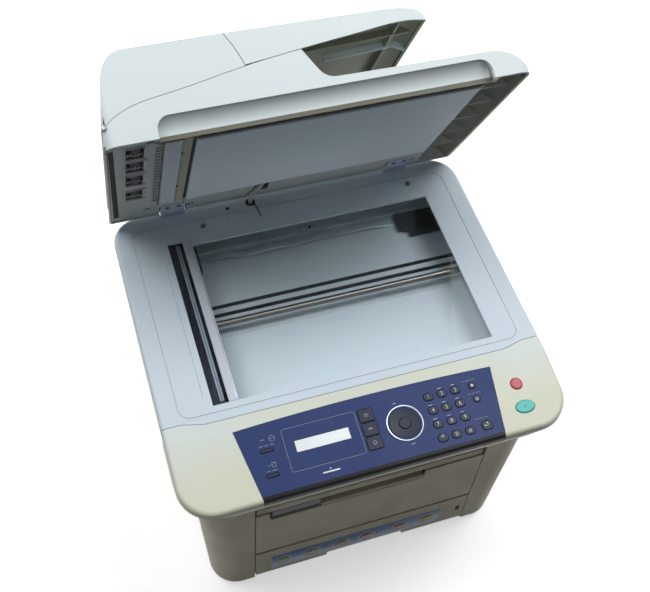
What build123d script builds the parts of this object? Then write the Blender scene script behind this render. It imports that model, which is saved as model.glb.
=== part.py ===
from build123d import *
import math
import os

# Multifunction laser printer with a flatbed scanner, a hinged lid and a document feeder.
# Millimetres. X to the right, Y to the back, Z up. The lid is drawn closed and then swung open.

# Overall sizes
WIDTH = 445.0
DECK_Z = 300.0
TUB_Z = 260.0
SCANNER_REAR_Y = 190.0
PANEL_FRONT_Y = -210.0
HALF = WIDTH / 2
WALL = 2.5
GAP = 0.3
FIT = 0.5

# Printer base
FOOT_H = 8.0
FOOT_R = 12.0
FOOT_INSET_X = 40.0
FOOT_INSET_Y = 45.0
BASE_BOTTOM_HALF = 190.0
BASE_TOP_HALF = 204.0
BASE_FRONT_Y = -184.0
BASE_REAR_Y = 178.0
BASE_TOP_Z = TUB_Z - GAP
BASE_CORNER_FRONT = 34.0
BASE_CORNER_REAR = 20.0
HOLD_Y = 40.0
HOLD_Z = 52.0
HOLD_LONG = 110.0
HOLD_TALL = 26.0
HOLD_DEEP = 16.0
VENT_Y = (70, 104)
VENT_LONG = 26.0
VENT_Z = range(120, 200, 9)
VENT_TALL = 3.0

# Front door and paper cassette
DOOR_HALF = 140.0
DOOR_HINGE_R = 5.3
DOOR_HINGE_Z = 85.3
DOOR_TOP_Z = 193.0
DOOR_GRIP_DEPTH = 18.0
DOOR_GRIP_X0 = -123.0
DOOR_GRIP_X1 = 66.0
DOOR_DEPTH = 12.0
CASSETTE_TOP_Z = 79.5
CASSETTE_BOTTOM_Z = 14.0
CASSETTE_TRAY_TOP_Z = 66.0
CASSETTE_BACK_Y = 139.0
CASSETTE_TRAY_HALF = 134.0
NOTCH_X0 = -46.0
NOTCH_X1 = 56.0
NOTCH_H = 9.0
LIFT_HALF = 104.0
LIFT_PIVOT_Y = -10.0
LIFT_PIVOT_Z = 22.0
LIFT_PIN_R = 2.0
LIFT_LENGTH = 148.0
LIFT_HOLES = (-60, 0, 60)
LIFT_HOLE_R = 12.0
DOOR_AXIS_Y = BASE_FRONT_Y + DOOR_HINGE_R
DOOR_PIN_R = 1.5
NOTCH_Z = CASSETTE_BOTTOM_Z + NOTCH_H

# Chassis
PAN_Z = 9.0
PAN_TOP_Z = 13.5
SIDE_PLATE_X = 141.5
SIDE_PLATE_T = 3.0
SHELF_Z = 85.7
CHASSIS_TOP_Z = 186.0
CHASSIS_FRONT_Y = -165.0
CHASSIS_REAR_Y = 160.0
CHASSIS_BACK_Z = 246.0
SHELF_T = 3.0
FUSER_Y = (66.0, 128.0)
FUSER_Z = (120.0, 168.0)

# Toner cartridge
TONER_HALF = 118.0
TONER_CAP = 8.0
TONER_GRIP_HALF = 40.0

# Output tray
TRAY_FRONT_Z = 192.0
TRAY_REAR_Z = 178.0
TRAY_BACK_Y = 118.0
EXIT_Z0 = 208.0
EXIT_Z1 = 228.0
EXIT_HALF = 112.0

# Rear door, sockets and rocker switch
REAR_DOOR_HALF = 120.0
REAR_DOOR_Z0 = 96.0
REAR_DOOR_Z1 = 236.0
REAR_HINGE_R = 3.0
PORT_X0 = 134.0
PORT_X1 = 182.0
PORT_Z0 = 24.0
PORT_Z1 = 150.0
PORT_T = 12.0
PORT_DEPTH = 9.0
INLET_X = 158.0
INLET_Z = 44.0
USB_X = (150.0, 162.0)
USB_Z = (100.0, 111.0)
JACK_X = (143.0, 155.0)
JACK_Z = (118.0, 133.0)
JACK_H = 10.0
LAN_X = (161.0, 175.0)
LAN_Z = (118.0, 132.0)
SWITCH_X = 158.0
SWITCH_Z = 76.0
SWITCH_HALF = 6.0
SWITCH_TALL = 9.5
SWITCH_TILT = 8.0

# Scanner
TUB_WALL_TOP_Z = 286.0
SCANNER_CORNER_FRONT = 40.0
SCANNER_CORNER_REAR = 36.0
SEAM_Y = -110.0
SEAM_STEP = 6.0
COVER_PLATE_T = 2.5
DECK_ROUND = 5.0
PLATEN_X0 = -HALF + 89.5
PLATEN_X1 = PLATEN_X0 + 302.0
PLATEN_Y0 = -91.0
PLATEN_Y1 = 129.5
SLIT_X0 = -HALF + 60.5
SLIT_X1 = SLIT_X0 + 18.0
SLIT_Y1 = 137.0
GLASS_T = 3.0
GLASS_MARGIN = 5.0
GROOVE_X = HALF - 22.0
GROOVE_Y0 = -100.0
GROOVE_Y1 = 165.0
GROOVE_R = 14.0
GROOVE_W = 1.0
GROOVE_D = 0.5
DECK_SCREW_X = (-114.0, 154.0)
DECK_SCREW_Y = 155.0
DECK_SCREW_R = 4.5
ROD_Y = 23.0
ROD_Z = 279.0
ROD_R = 4.0
ROD_X0 = -HALF + 26.5
ROD_X1 = HALF - 26.5
CARRIAGE_X0 = SLIT_X0 - 4.0
CARRIAGE_W = 32.0
CARRIAGE_Y0 = -88.0
CARRIAGE_Y1 = 141.0
CARRIAGE_TOP_Z = 293.0
CARRIAGE_BOTTOM_Z = 268.3
CARRIAGE_TRAVEL = 296.0
BELT_Y0 = 31.0
BELT_Y1 = 44.0
BELT_Z = 281.0
BELT_H = 6.0
BELT_T = 1.2
BELT_RUN = 0.05
PULLEY_X = HALF - 34.5
RAIL_HALF = HALF - 17.5
MOTOR_X0 = HALF - 92.5
MOTOR_X1 = HALF - 38.5
MOTOR_Y0 = 98.0
MOTOR_Y1 = 135.0
CABLE_HOLE = (-49.0, 176.0)
CABLE_R = 2.6
CABLE_POINTS = [(-49, 176, 296), (-49, 176, 308), (-47, 173, 321), (-41, 169, 331), (-35, 168, 343)]
POST_Y0 = 181.0
RIBBON_X0 = -126.0
RIBBON_PITCH = 61.0
RIBBON_WAVES = 4
RIBBON_WAVE = 3.0
RIBBON_T = 0.8
RIBBON_W = 13.0
RIBBON_Y = 128.0

# Control panel
PANEL_DROP = 10.5
PANEL_SINK = 0.4
PANEL_ROUND = 5.0
PANEL_LEAN = 5.5
PANEL_FOOT_CORNER = 56.0
LIP_BOTTOM_Z = 280.5
LIP_T = 1.3
FASCIA_BACK_Y = -126.0
FASCIA_FRONT_Y = -208.0
FASCIA_BACK_HALF = 150.0
FASCIA_FRONT_HALF = 137.5
FASCIA_T = 3.0
FASCIA_LEDGE = 4.0
KEY_TRAVEL = 0.8
KEY_GAP = 0.35
KEY_RISE = 1.1
KEY_FLANGE = 1.0
FLANGE_T = 1.0
BUTTON_RISE = 2.0
KEY_DEPTH = 7.0
KEY_SIZE = (11.5, 9.0)
KEY_COLUMNS = (68.8, 84.9, 101.0)
KEY_ROWS = (-144.0, -160.4, -176.8, -193.0)
SIDE_COLUMN = 121.5
STACK_X = -5.4
STACK_W = 17.0
STACK_TOP = -138.4
STACK_PITCH = 16.1
SLIM_AT = ((-120.0, -156.5), (-121.0, -184.0))
SLIM_SIZE = (14.0, 4.0)
NAV_AT = (33.5, -166.0)
NAV_R = 17.5
NAV_RING_R = 21.0
OK_R = 6.5
STOP_AT = (172.0, -155.0)
STOP_R = 7.0
START_AT = (171.5, -183.0)
START_RX = 11.5
START_RY = 7.5
DISPLAY_AT = (-58.7, -160.2)
DISPLAY_SIZE = (61.5, 13.5)
LAMP_AT = (-60.0, -195.8)
LAMP_SIZE = (20.0, 2.0)

# Lid, measured from its underside plane with v from the hinge edge to the front
LID_OPEN_DEG = 64.2
LID_AXIS_Y = 187.0
LID_AXIS_Z = 306.5
LID_UNDER_Z = 301.5
LID_V0_Y = 192.0
LID_V_REAR = 2.5
LID_V_FRONT = 303.0
LID_DECK_H = 31.0
LID_WALL = 2.5
LID_CORNER = 14.0
LID_ROUND_X = HALF - 36.5
LID_FALL = 2.5
ADF_TOP_H = 94.5
SEAM_LEFT_H = 18.5
SEAM_START_X = 10.0
SEAM_START_RISE = 6.0
SEAM_STEPS = ((22.5, 0.185), (72.5, 0.467), (155.5, 0.827))
COVER_AXIS_X = -HALF + 4.0
COVER_AXIS_H = 21.0
COVER_KNUCKLE_R = 2.3
COVER_SEAM_R = 151.0
BAY_X = -13.0
BAY_H = ADF_TOP_H - 29.5
TRAY_END_X = 123.0
GRIP_X0 = -169.0
GRIP_X1 = 179.0
GRIP_H = 22.0
GRIP_DEPTH = 11.0
GRIP_R = 13.0
MAT_X0 = -HALF + 91.0
MAT_X1 = MAT_X0 + 303.5
MAT_V0 = 56.0
MAT_V1 = 280.0
MAT_DROP = 1.2
LINER_H = 1.5
LINER_T = 2.5
HINGE_X = (-145.5, 145.5)
HINGE_W = 30.0
HINGE_PIN_R = 2.5
HINGE_KNUCKLE_R = 4.5
HINGE_RUN = 0.08
KNUCKLE_ROOM_V = 16.0
LEAF_END_V = 36.0
LEAF_LOW_H = 0.2
LEAF_TOP_H = 2.7
LEAF_EAR_ROOM = 6.5
KNUCKLE_HALF = 7.0
GUIDE_TRAVEL = 0.055
ROLLER_X = -HALF + 31.5
ROLLER_H = 9.0
ROLLER_R = 7.5
ROLLER_SHAFT_R = 3.0
COVER_PIN_R = 1.0
COVER_PIN_L = 9.0
COVER_EAR_ROOM = 1.1
COVER_CHAMFER = 0.9
TRAY_DISH = 5.0
TRAY_THICK = 21.0
TRAY_BEND_X = 60.0
TRAY_RIB_H = 8.0
TRAY_RIB_T = 2.4
TRAY_RAILS = (42.0, 262.0)
COVER_FOOT = 7.4
TRAY_FOOT = 6.4
ENTRY_H = 6.0
ENTRY_DEPTH = 32.0
ENTRY_INSET = 18.0
GUIDE_X0 = -20.0
GUIDE_X1 = 50.0
GUIDE_HEIGHT = 10.0
GUIDE_SPREAD = 112.0
ROLLER_WINDOWS = (92, 150, 200, 245)
CHEEK_V = (82, 288)
WEB_V = range(52, 270, 50)
COMB_V = range(70, 290, 10)

PANEL_TILT = math.degrees(math.atan2(PANEL_DROP, FASCIA_BACK_Y - FASCIA_FRONT_Y))
FRONT_REACH = PANEL_FRONT_Y
OPEN = math.radians(LID_OPEN_DEG)
REAR_RISE = LID_UNDER_Z + ADF_TOP_H - LID_AXIS_Z
REAR_REACH = LID_AXIS_Y + (LID_V0_Y - LID_V_REAR - LID_AXIS_Y) * math.cos(OPEN) + REAR_RISE * math.sin(OPEN)
FRAME_Y = (FRONT_REACH + REAR_REACH) / 2


# Helpers

def block(x0, x1, y0, y1, z0, z1):
    return Pos((x0 + x1) / 2, (y0 + y1) / 2, (z0 + z1) / 2) * Box(x1 - x0, y1 - y0, z1 - z0)


def outline(x0, x1, y0, y1, front_r, rear_r):
    """Rectangle in plan with its own radius at the front and at the rear corners."""
    face = Pos((x0 + x1) / 2, (y0 + y1) / 2) * Rectangle(x1 - x0, y1 - y0)
    rows = face.vertices().group_by(Axis.Y)
    face = fillet(rows[0], front_r)
    rows = face.vertices().sort_by(Axis.Y)
    return fillet(rows[-2:], rear_r)


def slab(face, z0, z1):
    return extrude(Pos(0, 0, z0) * face, z1 - z0)


def stud(r, height):
    """Cylinder that stands on its plane."""
    return Cylinder(r, height, align=(Align.CENTER, Align.CENTER, Align.MIN))


def rod_x(x0, x1, y, z, r):
    return Plane(origin=(x0, y, z), z_dir=(1, 0, 0)) * stud(r, x1 - x0)


def front_plane(x, y, z):
    """Plane that faces the front: local x is X, local y is Z."""
    return Plane(origin=(x, y, z), x_dir=(1, 0, 0), z_dir=(0, -1, 0))


def rear_plane(x, y, z):
    return Plane(origin=(x, y, z), x_dir=(-1, 0, 0), z_dir=(0, 1, 0))


def right_plane(x, y, z):
    """Plane that faces the right side: local x is Y, local y is Z."""
    return Plane(origin=(x, y, z), x_dir=(0, 1, 0), z_dir=(1, 0, 0))


def side_profile(points, x0, x1):
    """Prism along X from an outline given as (y, z) points."""
    wire = Polyline(*[(0, y, z) for y, z in points], close=True)
    return extrude(Pos(x0, 0, 0) * make_face(wire), x1 - x0, dir=(1, 0, 0))


def lid_plane(v):
    """Plane across the lid at distance v from the hinge edge: local x is X, local y is height."""
    return Plane(origin=(0, LID_V0_Y - v, LID_UNDER_Z), x_dir=(1, 0, 0), z_dir=(0, -1, 0))


def lid_prism(face, v0, v1):
    return extrude(lid_plane(v0) * face, v1 - v0)


def lid_box(x0, x1, v0, v1, h0, h1):
    return block(x0, x1, LID_V0_Y - v1, LID_V0_Y - v0, LID_UNDER_Z + h0, LID_UNDER_Z + h1)


def lid_rod(x0, x1, v, h, r):
    return rod_x(x0, x1, LID_V0_Y - v, LID_UNDER_Z + h, r)


def lid_shaft(v0, v1, x, h, r):
    return lid_prism(Pos(x, h) * Circle(r), v0, v1)


def swing_open(part):
    return part.rotate(Axis((0, LID_AXIS_Y, LID_AXIS_Z), (1, 0, 0)), -LID_OPEN_DEG)


# Printer base

def base_skin(inset):
    """Tapered body of the base, drawn in by inset."""
    low = outline(-BASE_BOTTOM_HALF + inset, BASE_BOTTOM_HALF - inset, BASE_FRONT_Y + inset,
                  BASE_REAR_Y - inset, BASE_CORNER_FRONT - inset, BASE_CORNER_REAR - inset)
    high = outline(-BASE_TOP_HALF + inset, BASE_TOP_HALF - inset, BASE_FRONT_Y + inset,
                   BASE_REAR_Y - inset, BASE_CORNER_FRONT - inset, BASE_CORNER_REAR - inset)
    return loft([Pos(0, 0, FOOT_H) * low, Pos(0, 0, BASE_TOP_Z) * high])


def side_cover(side):
    """Left (-1) or right (1) cover with its wrapped front corner and carrying recess."""
    shell = base_skin(0) - base_skin(WALL)
    keep = block(DOOR_HALF + FIT, HALF, BASE_FRONT_Y - FIT, BASE_REAR_Y - BASE_CORNER_REAR - FIT, 0, DECK_Z)
    inner_edge = block(DOOR_HALF + FIT, DOOR_HALF + FIT + WALL, BASE_FRONT_Y + 1, CHASSIS_FRONT_Y - GAP,
                       FOOT_H, BASE_TOP_Z)
    ribs = [block(DOOR_HALF + FIT, BASE_BOTTOM_HALF - 3, BASE_FRONT_Y + 2, BASE_FRONT_Y + 14, z, z + 2)
            for z in (40, 110, 180, 240)]
    recess = extrude(right_plane(HALF, HOLD_Y, HOLD_Z) * RectangleRounded(HOLD_LONG, HOLD_TALL, 10), -60)
    y0, y1 = HOLD_Y - HOLD_LONG / 2, HOLD_Y + HOLD_LONG / 2
    z0, z1 = HOLD_Z - HOLD_TALL / 2, HOLD_Z + HOLD_TALL / 2
    x0 = BASE_BOTTOM_HALF - HOLD_DEEP
    pocket = block(x0 - 2, x0 + 22, y0 - 2, y1 + 2, z0 - 2, z1 + 2) - block(x0, HALF, y0, y1, z0, z1)
    pocket = pocket & base_skin(0)
    cover = (shell - recess + pocket + (Compound(ribs) & base_skin(1))) & keep
    pin_hole = rod_x(DOOR_HALF, DOOR_HALF + 5, DOOR_AXIS_Y, DOOR_HINGE_Z, DOOR_PIN_R + FIT)
    cover = cover + (inner_edge & base_skin(0)) - pin_hole
    vents = [block(0, HALF, y, y + VENT_LONG, z, z + VENT_TALL) for y in VENT_Y for z in VENT_Z]
    cover = cover - vents
    return cover if side > 0 else mirror(cover, Plane.YZ)


def rear_cover():
    shell = base_skin(0) - base_skin(WALL)
    keep = block(-HALF, HALF, BASE_REAR_Y - BASE_CORNER_REAR, BASE_REAR_Y + 1, 0, DECK_Z)
    door_hole = block(-REAR_DOOR_HALF - FIT, REAR_DOOR_HALF + FIT, 0, HALF, REAR_DOOR_Z0 - FIT,
                      REAR_DOOR_Z1 + FIT)
    port_hole = block(PORT_X0 - GAP, PORT_X1 + GAP, 0, HALF, PORT_Z0 - GAP, PORT_Z1 + GAP)
    slots = [block(x, x + 3, 0, HALF, 120, 190) for x in range(-180, -140, 8)]
    return (shell & keep) - door_hole - port_hole - slots


def rear_door():
    axis_y = BASE_REAR_Y - REAR_HINGE_R
    half = REAR_DOOR_HALF
    panel = block(-half, half, BASE_REAR_Y - WALL, BASE_REAR_Y, REAR_DOOR_Z0 + REAR_HINGE_R, REAR_DOOR_Z1)
    flange = block(-half, half, BASE_REAR_Y - 12, BASE_REAR_Y, REAR_DOOR_Z1 - WALL, REAR_DOOR_Z1)
    ribs = [block(x - 1, x + 1, BASE_REAR_Y - 8, BASE_REAR_Y - 1, REAR_DOOR_Z0 + 12, REAR_DOOR_Z1 - 1)
            for x in (-90, -45, 0, 45, 90)]
    barrel = rod_x(-half, half, axis_y, REAR_DOOR_Z0 + REAR_HINGE_R, REAR_HINGE_R)
    pull = extrude(rear_plane(0, BASE_REAR_Y, REAR_DOOR_Z1 - 14) * RectangleRounded(60, 14, 5), -WALL / 2)
    return panel + flange + ribs + barrel - pull


def rear_ports():
    """Mains inlet, data and telephone sockets on one inner plate."""
    y = BASE_REAR_Y - WALL
    plate = block(PORT_X0, PORT_X1, y + 1 - PORT_T, y + 1, PORT_Z0, PORT_Z1)
    floor = y + 1 - PORT_DEPTH
    inlet = extrude(rear_plane(INLET_X, y + 1, INLET_Z) * RectangleRounded(27, 20, 4), -PORT_DEPTH)
    blades = [block(INLET_X + dx - 1, INLET_X + dx + 1, floor - 1, floor + 4, INLET_Z + dz - 3,
                    INLET_Z + dz + 3)
              for dx, dz in ((-7, -2), (0, 2), (7, -2))]
    usb = block(*USB_X, floor, y + 2, *USB_Z)
    jacks = [block(*JACK_X, floor, y + 2, z, z + JACK_H) for z in JACK_Z]
    lan = block(*LAN_X, floor, y + 2, *LAN_Z)
    switch_hole = block(SWITCH_X - SWITCH_HALF - GAP, SWITCH_X + SWITCH_HALF + GAP, y - PORT_T, y + 2,
                        SWITCH_Z - SWITCH_TALL - GAP, SWITCH_Z + SWITCH_TALL + GAP)
    return plate - inlet + blades - usb - jacks - lan - switch_hole


def power_switch():
    """Rocker that turns about its middle, with a lens-shaped side so that it stays in its hole."""
    y = BASE_REAR_Y - WALL
    body = Pos(SWITCH_X, y - 1, SWITCH_Z) * Rot(0, 90, 0) * Cylinder(SWITCH_TALL - 0.4, 2 * SWITCH_HALF)
    keep = block(SWITCH_X - SWITCH_HALF, SWITCH_X + SWITCH_HALF, y - 4, y + 3, SWITCH_Z - 20, SWITCH_Z + 20)
    dish = Pos(SWITCH_X, y + 14.5, SWITCH_Z) * Rot(0, 90, 0) * Cylinder(12.5, 3 * SWITCH_HALF)
    return (body & keep) - dish


def base_frame():
    pan = slab(outline(-BASE_BOTTOM_HALF + 4, BASE_BOTTOM_HALF - 4, CHASSIS_FRONT_Y, BASE_REAR_Y - 4, 10, 17),
               PAN_Z, PAN_TOP_Z)
    frame = pan
    for side in (-1, 1):
        x0, x1 = sorted((side * SIDE_PLATE_X, side * (SIDE_PLATE_X + SIDE_PLATE_T)))
        plate = side_profile([(CHASSIS_FRONT_Y, PAN_Z), (CHASSIS_REAR_Y, PAN_Z),
                              (CHASSIS_REAR_Y, CHASSIS_BACK_Z), (TRAY_BACK_Y + 8, CHASSIS_BACK_Z),
                              (TRAY_BACK_Y + 8, CHASSIS_TOP_Z - 20),
                              (60, CHASSIS_TOP_Z - 20), (CHASSIS_FRONT_Y, CHASSIS_TOP_Z - 20)], x0, x1)
        window = extrude(right_plane(x0, -60, 128) * RectangleRounded(90, 50, 8), SIDE_PLATE_T)
        ear_near = DOOR_HALF + FIT + WALL + GAP
        ear_x0, ear_x1 = sorted((side * ear_near, side * (SIDE_PLATE_X + 2 * SIDE_PLATE_T)))
        ear = block(ear_x0, ear_x1, BASE_FRONT_Y + WALL + GAP, CHASSIS_FRONT_Y + 2, DOOR_HINGE_Z - 4,
                    DOOR_HINGE_Z + 14)
        bore = rod_x(ear_x0 - 1, ear_x1 + 1, DOOR_AXIS_Y, DOOR_HINGE_Z, DOOR_PIN_R + HINGE_RUN)
        frame = frame + (plate - window) + ear - bore
    inner = SIDE_PLATE_X + 1
    shelf = block(-inner, inner, -130, CHASSIS_REAR_Y, SHELF_Z, SHELF_Z + SHELF_T)
    slot = block(-108, 108, -118, -104, SHELF_Z - 1, SHELF_Z + 4)
    rear_wall = block(-inner, inner, CHASSIS_REAR_Y - 3, CHASSIS_REAR_Y, 90, 120)
    beam = block(-inner, inner, -40, -10, CHASSIS_TOP_Z - 24, CHASSIS_TOP_Z - 20)
    y0, y1 = FUSER_Y
    z0, z1 = FUSER_Z
    fuser = side_profile([(y0, z0), (y0, z1 - 18), (y0 + 14, z1), (y1 - 18, z1), (y1, z1 - 12), (y1, z0)],
                         -inner, inner)
    return frame + (shelf - slot) + rear_wall + beam + fuser


def front_door():
    """Drop-down door: curved shell with side flanges, ribs and pins at its lower edge."""
    x = DOOR_HALF - FIT
    back_y = BASE_FRONT_Y + DOOR_DEPTH
    front = block(-x, x, BASE_FRONT_Y, BASE_FRONT_Y + WALL, DOOR_HINGE_Z, DOOR_TOP_Z)
    top = block(-x, x, BASE_FRONT_Y, back_y, DOOR_TOP_Z - WALL, DOOR_TOP_Z)
    top = top - block(DOOR_GRIP_X0, DOOR_GRIP_X1, BASE_FRONT_Y - 1, back_y + 1,
                      DOOR_TOP_Z - DOOR_GRIP_DEPTH, DOOR_TOP_Z + 1)
    cut = extrude(front_plane((DOOR_GRIP_X0 + DOOR_GRIP_X1) / 2, BASE_FRONT_Y, DOOR_TOP_Z)
                  * RectangleRounded(DOOR_GRIP_X1 - DOOR_GRIP_X0, 2 * DOOR_GRIP_DEPTH, 5),
                  WALL + 1, both=True)
    grip_z = DOOR_TOP_Z - DOOR_GRIP_DEPTH
    ledge = block(DOOR_GRIP_X0 - 2, DOOR_GRIP_X1 + 2, BASE_FRONT_Y + 1, back_y, grip_z - WALL, grip_z)
    back = block(DOOR_GRIP_X0 - 2, DOOR_GRIP_X1 + 2, back_y - WALL, back_y, grip_z - WALL, DOOR_TOP_Z)
    flanges = [block(x0, x0 + WALL, BASE_FRONT_Y, back_y, DOOR_HINGE_Z + 8, DOOR_TOP_Z)
               for x0 in (-x, x - WALL)]
    ribs = [block(rx - 0.8, rx + 0.8, BASE_FRONT_Y + 1, BASE_FRONT_Y + 8, DOOR_HINGE_Z + 6,
                  DOOR_TOP_Z - DOOR_GRIP_DEPTH - 1) for rx in range(-105, 106, 35)]
    barrel = rod_x(-x, x, DOOR_AXIS_Y, DOOR_HINGE_Z, DOOR_HINGE_R)
    pin_end = SIDE_PLATE_X + 2 * SIDE_PLATE_T - 1
    pins = rod_x(-pin_end, pin_end, DOOR_AXIS_Y, DOOR_HINGE_Z, DOOR_PIN_R)
    return front + top + flanges + ribs + barrel + pins - cut + ledge + back


def paper_cassette():
    """Drawer front with finger notch, open tray with rounded walls, pivot bosses for the plate."""
    x = DOOR_HALF - FIT
    face = extrude(front_plane(0, BASE_FRONT_Y + 4, (CASSETTE_TOP_Z + CASSETTE_BOTTOM_Z) / 2)
                   * RectangleRounded(2 * x, CASSETTE_TOP_Z - CASSETTE_BOTTOM_Z, 1.5), 4)
    tray = slab(outline(-CASSETTE_TRAY_HALF, CASSETTE_TRAY_HALF, BASE_FRONT_Y + 2, CASSETTE_BACK_Y, 1, 8),
                CASSETTE_BOTTOM_Z, CASSETTE_TRAY_TOP_Z)
    room = slab(outline(-CASSETTE_TRAY_HALF + WALL, CASSETTE_TRAY_HALF - WALL, BASE_FRONT_Y + 20,
                        CASSETTE_BACK_Y - WALL, 4, 6), CASSETTE_BOTTOM_Z + 2, CASSETTE_TRAY_TOP_Z + 1)
    hollow_front = block(-CASSETTE_TRAY_HALF + 10, CASSETTE_TRAY_HALF - 10, BASE_FRONT_Y + 6.5,
                         BASE_FRONT_Y + 17.5, NOTCH_Z + 3, CASSETTE_TRAY_TOP_Z + 1)
    notch = extrude(front_plane((NOTCH_X0 + NOTCH_X1) / 2, BASE_FRONT_Y + 14, CASSETTE_BOTTOM_Z)
                    * RectangleRounded(NOTCH_X1 - NOTCH_X0, 2 * NOTCH_H, 4), 15)
    level_slot = block(127, 133, BASE_FRONT_Y - 1, BASE_FRONT_Y + 1.5, 38, 52)
    low_end = block(-LIFT_HALF - 6, LIFT_HALF + 6, LIFT_PIVOT_Y + 10, CASSETTE_BACK_Y - WALL - 4,
                    CASSETTE_BOTTOM_Z + 1, LIFT_PIVOT_Z + 0.5)
    bosses = [block(s * (LIFT_HALF + 5) - 2, s * (LIFT_HALF + 5) + 2, LIFT_PIVOT_Y - 6, LIFT_PIVOT_Y + 6,
                    CASSETTE_BOTTOM_Z + 1, LIFT_PIVOT_Z + 6) for s in (-1, 1)]
    bore = rod_x(-LIFT_HALF - 12, LIFT_HALF + 12, LIFT_PIVOT_Y, LIFT_PIVOT_Z, LIFT_PIN_R + HINGE_RUN)
    bosses = Compound(bosses) - bore
    return face + tray - room - hollow_front - notch - level_slot + low_end + bosses


def lift_plate():
    front_y = LIFT_PIVOT_Y - LIFT_LENGTH
    plate = block(-LIFT_HALF, LIFT_HALF, front_y, LIFT_PIVOT_Y, LIFT_PIVOT_Z - 1, LIFT_PIVOT_Z + 0.5)
    ears = [block(s * (LIFT_HALF - 1) - 1, s * (LIFT_HALF - 1) + 1, LIFT_PIVOT_Y - 30, LIFT_PIVOT_Y + 3,
                  LIFT_PIVOT_Z - 1, LIFT_PIVOT_Z + 3) for s in (-1, 1)]
    pad = block(-28, 28, front_y + 4, front_y + 22, LIFT_PIVOT_Z, LIFT_PIVOT_Z + 1.3)
    holes = [Pos(x, LIFT_PIVOT_Y - 80, LIFT_PIVOT_Z) * Cylinder(LIFT_HOLE_R, 6) for x in LIFT_HOLES]
    pins = rod_x(-LIFT_HALF - 8, LIFT_HALF + 8, LIFT_PIVOT_Y, LIFT_PIVOT_Z, LIFT_PIN_R)
    return plate + ears + pad + pins - holes


def toner_cartridge():
    """Hopper, waste box and grip, as one moulded cartridge that slides out through the door."""
    body = side_profile([(-148, 94), (-148, 112), (-130, 126), (-104, 152), (-52, 158), (-6, 158), (0, 150),
                         (0, 118), (-18, 104), (-60, 96)], -TONER_HALF, TONER_HALF)
    body = fillet(body.edges().filter_by(Axis.X).group_by(Axis.Z)[-1], 4)
    handle = [(-160, 116), (-160, 134), (-155, 134), (-150, 124), (-122, 138), (-124, 128)]
    grip = side_profile(handle, -TONER_GRIP_HALF, TONER_GRIP_HALF)
    cap = [(-140, 98), (-128, 134), (-96, 154), (-20, 154), (-8, 120), (-50, 90), (-120, 89)]
    ends = [side_profile(cap, x, x + TONER_CAP) for x in (-TONER_HALF - TONER_CAP, TONER_HALF)]
    return body + grip + ends


def output_tray():
    """Tub between base and scanner: sloping floor, side walls and a rear wall with the exit slot."""
    x = DOOR_HALF + FIT + WALL
    inner = x - WALL
    y0 = CHASSIS_FRONT_Y
    path = [(y0, TRAY_FRONT_Z - 2.5), (y0 + 14, TRAY_FRONT_Z), (40, TRAY_REAR_Z - 2),
            (TRAY_BACK_Y - 14, TRAY_REAR_Z), (TRAY_BACK_Y, TRAY_REAR_Z + 14), (TRAY_BACK_Y, BASE_TOP_Z)]
    under = [(TRAY_BACK_Y + WALL, BASE_TOP_Z), (TRAY_BACK_Y + WALL, TRAY_REAR_Z + 10),
             (TRAY_BACK_Y - 12, TRAY_REAR_Z - WALL), (40, TRAY_REAR_Z - 2 - WALL),
             (y0 + 14, TRAY_FRONT_Z - WALL), (y0 + 1, TRAY_FRONT_Z - 5)]
    floor = side_profile(path + under, -inner, inner)
    back_y = TRAY_BACK_Y + WALL
    side = [(y0, TRAY_FRONT_Z - 6), (back_y, TRAY_REAR_Z - 6), (back_y, BASE_TOP_Z), (y0, BASE_TOP_Z)]
    walls = [side_profile(side, -x, -inner), side_profile(side, inner, x)]
    exit_slot = block(-EXIT_HALF, EXIT_HALF, TRAY_BACK_Y - 1, TRAY_BACK_Y + 4, EXIT_Z0, EXIT_Z1)
    rib = [(y0 + 20, TRAY_FRONT_Z - 1.5), (20, TRAY_REAR_Z + 1.5), (20, TRAY_REAR_Z - 1),
           (y0 + 20, TRAY_FRONT_Z - 3)]
    ribs = [side_profile(rib, rx - 1, rx + 1) for rx in (-60, 0, 60)]
    stop = side_profile([(y0 + 20, TRAY_FRONT_Z - 1.5), (y0 + 20, TRAY_FRONT_Z + 1.2),
                         (y0 + 54, TRAY_FRONT_Z - 1.6), (y0 + 54, TRAY_FRONT_Z - 4.3)], -35, 35)
    return floor + walls + ribs + stop - exit_slot


def rubber_feet():
    spots = [(s * (BASE_BOTTOM_HALF - FOOT_INSET_X), y) for s in (-1, 1)
             for y in (CHASSIS_FRONT_Y + FOOT_INSET_Y - 20, BASE_REAR_Y - FOOT_INSET_Y)]
    foot = chamfer(stud(FOOT_R, PAN_Z).edges().group_by(Axis.Z)[0], 1)
    return Compound([Pos(x, y, 0) * foot for x, y in spots])


# Scanner

def scanner_plan(inset):
    return outline(-HALF + inset, HALF - inset, PANEL_FRONT_Y + inset, SCANNER_REAR_Y - inset,
                   SCANNER_CORNER_FRONT - inset, SCANNER_CORNER_REAR - inset)


def foot_plan(inset):
    """Plan of the scanner's underside, drawn back at the front."""
    return outline(-HALF + inset, HALF - inset, PANEL_FRONT_Y + PANEL_LEAN + inset, SCANNER_REAR_Y - inset,
                   PANEL_FOOT_CORNER - inset, SCANNER_CORNER_REAR - inset)


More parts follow.
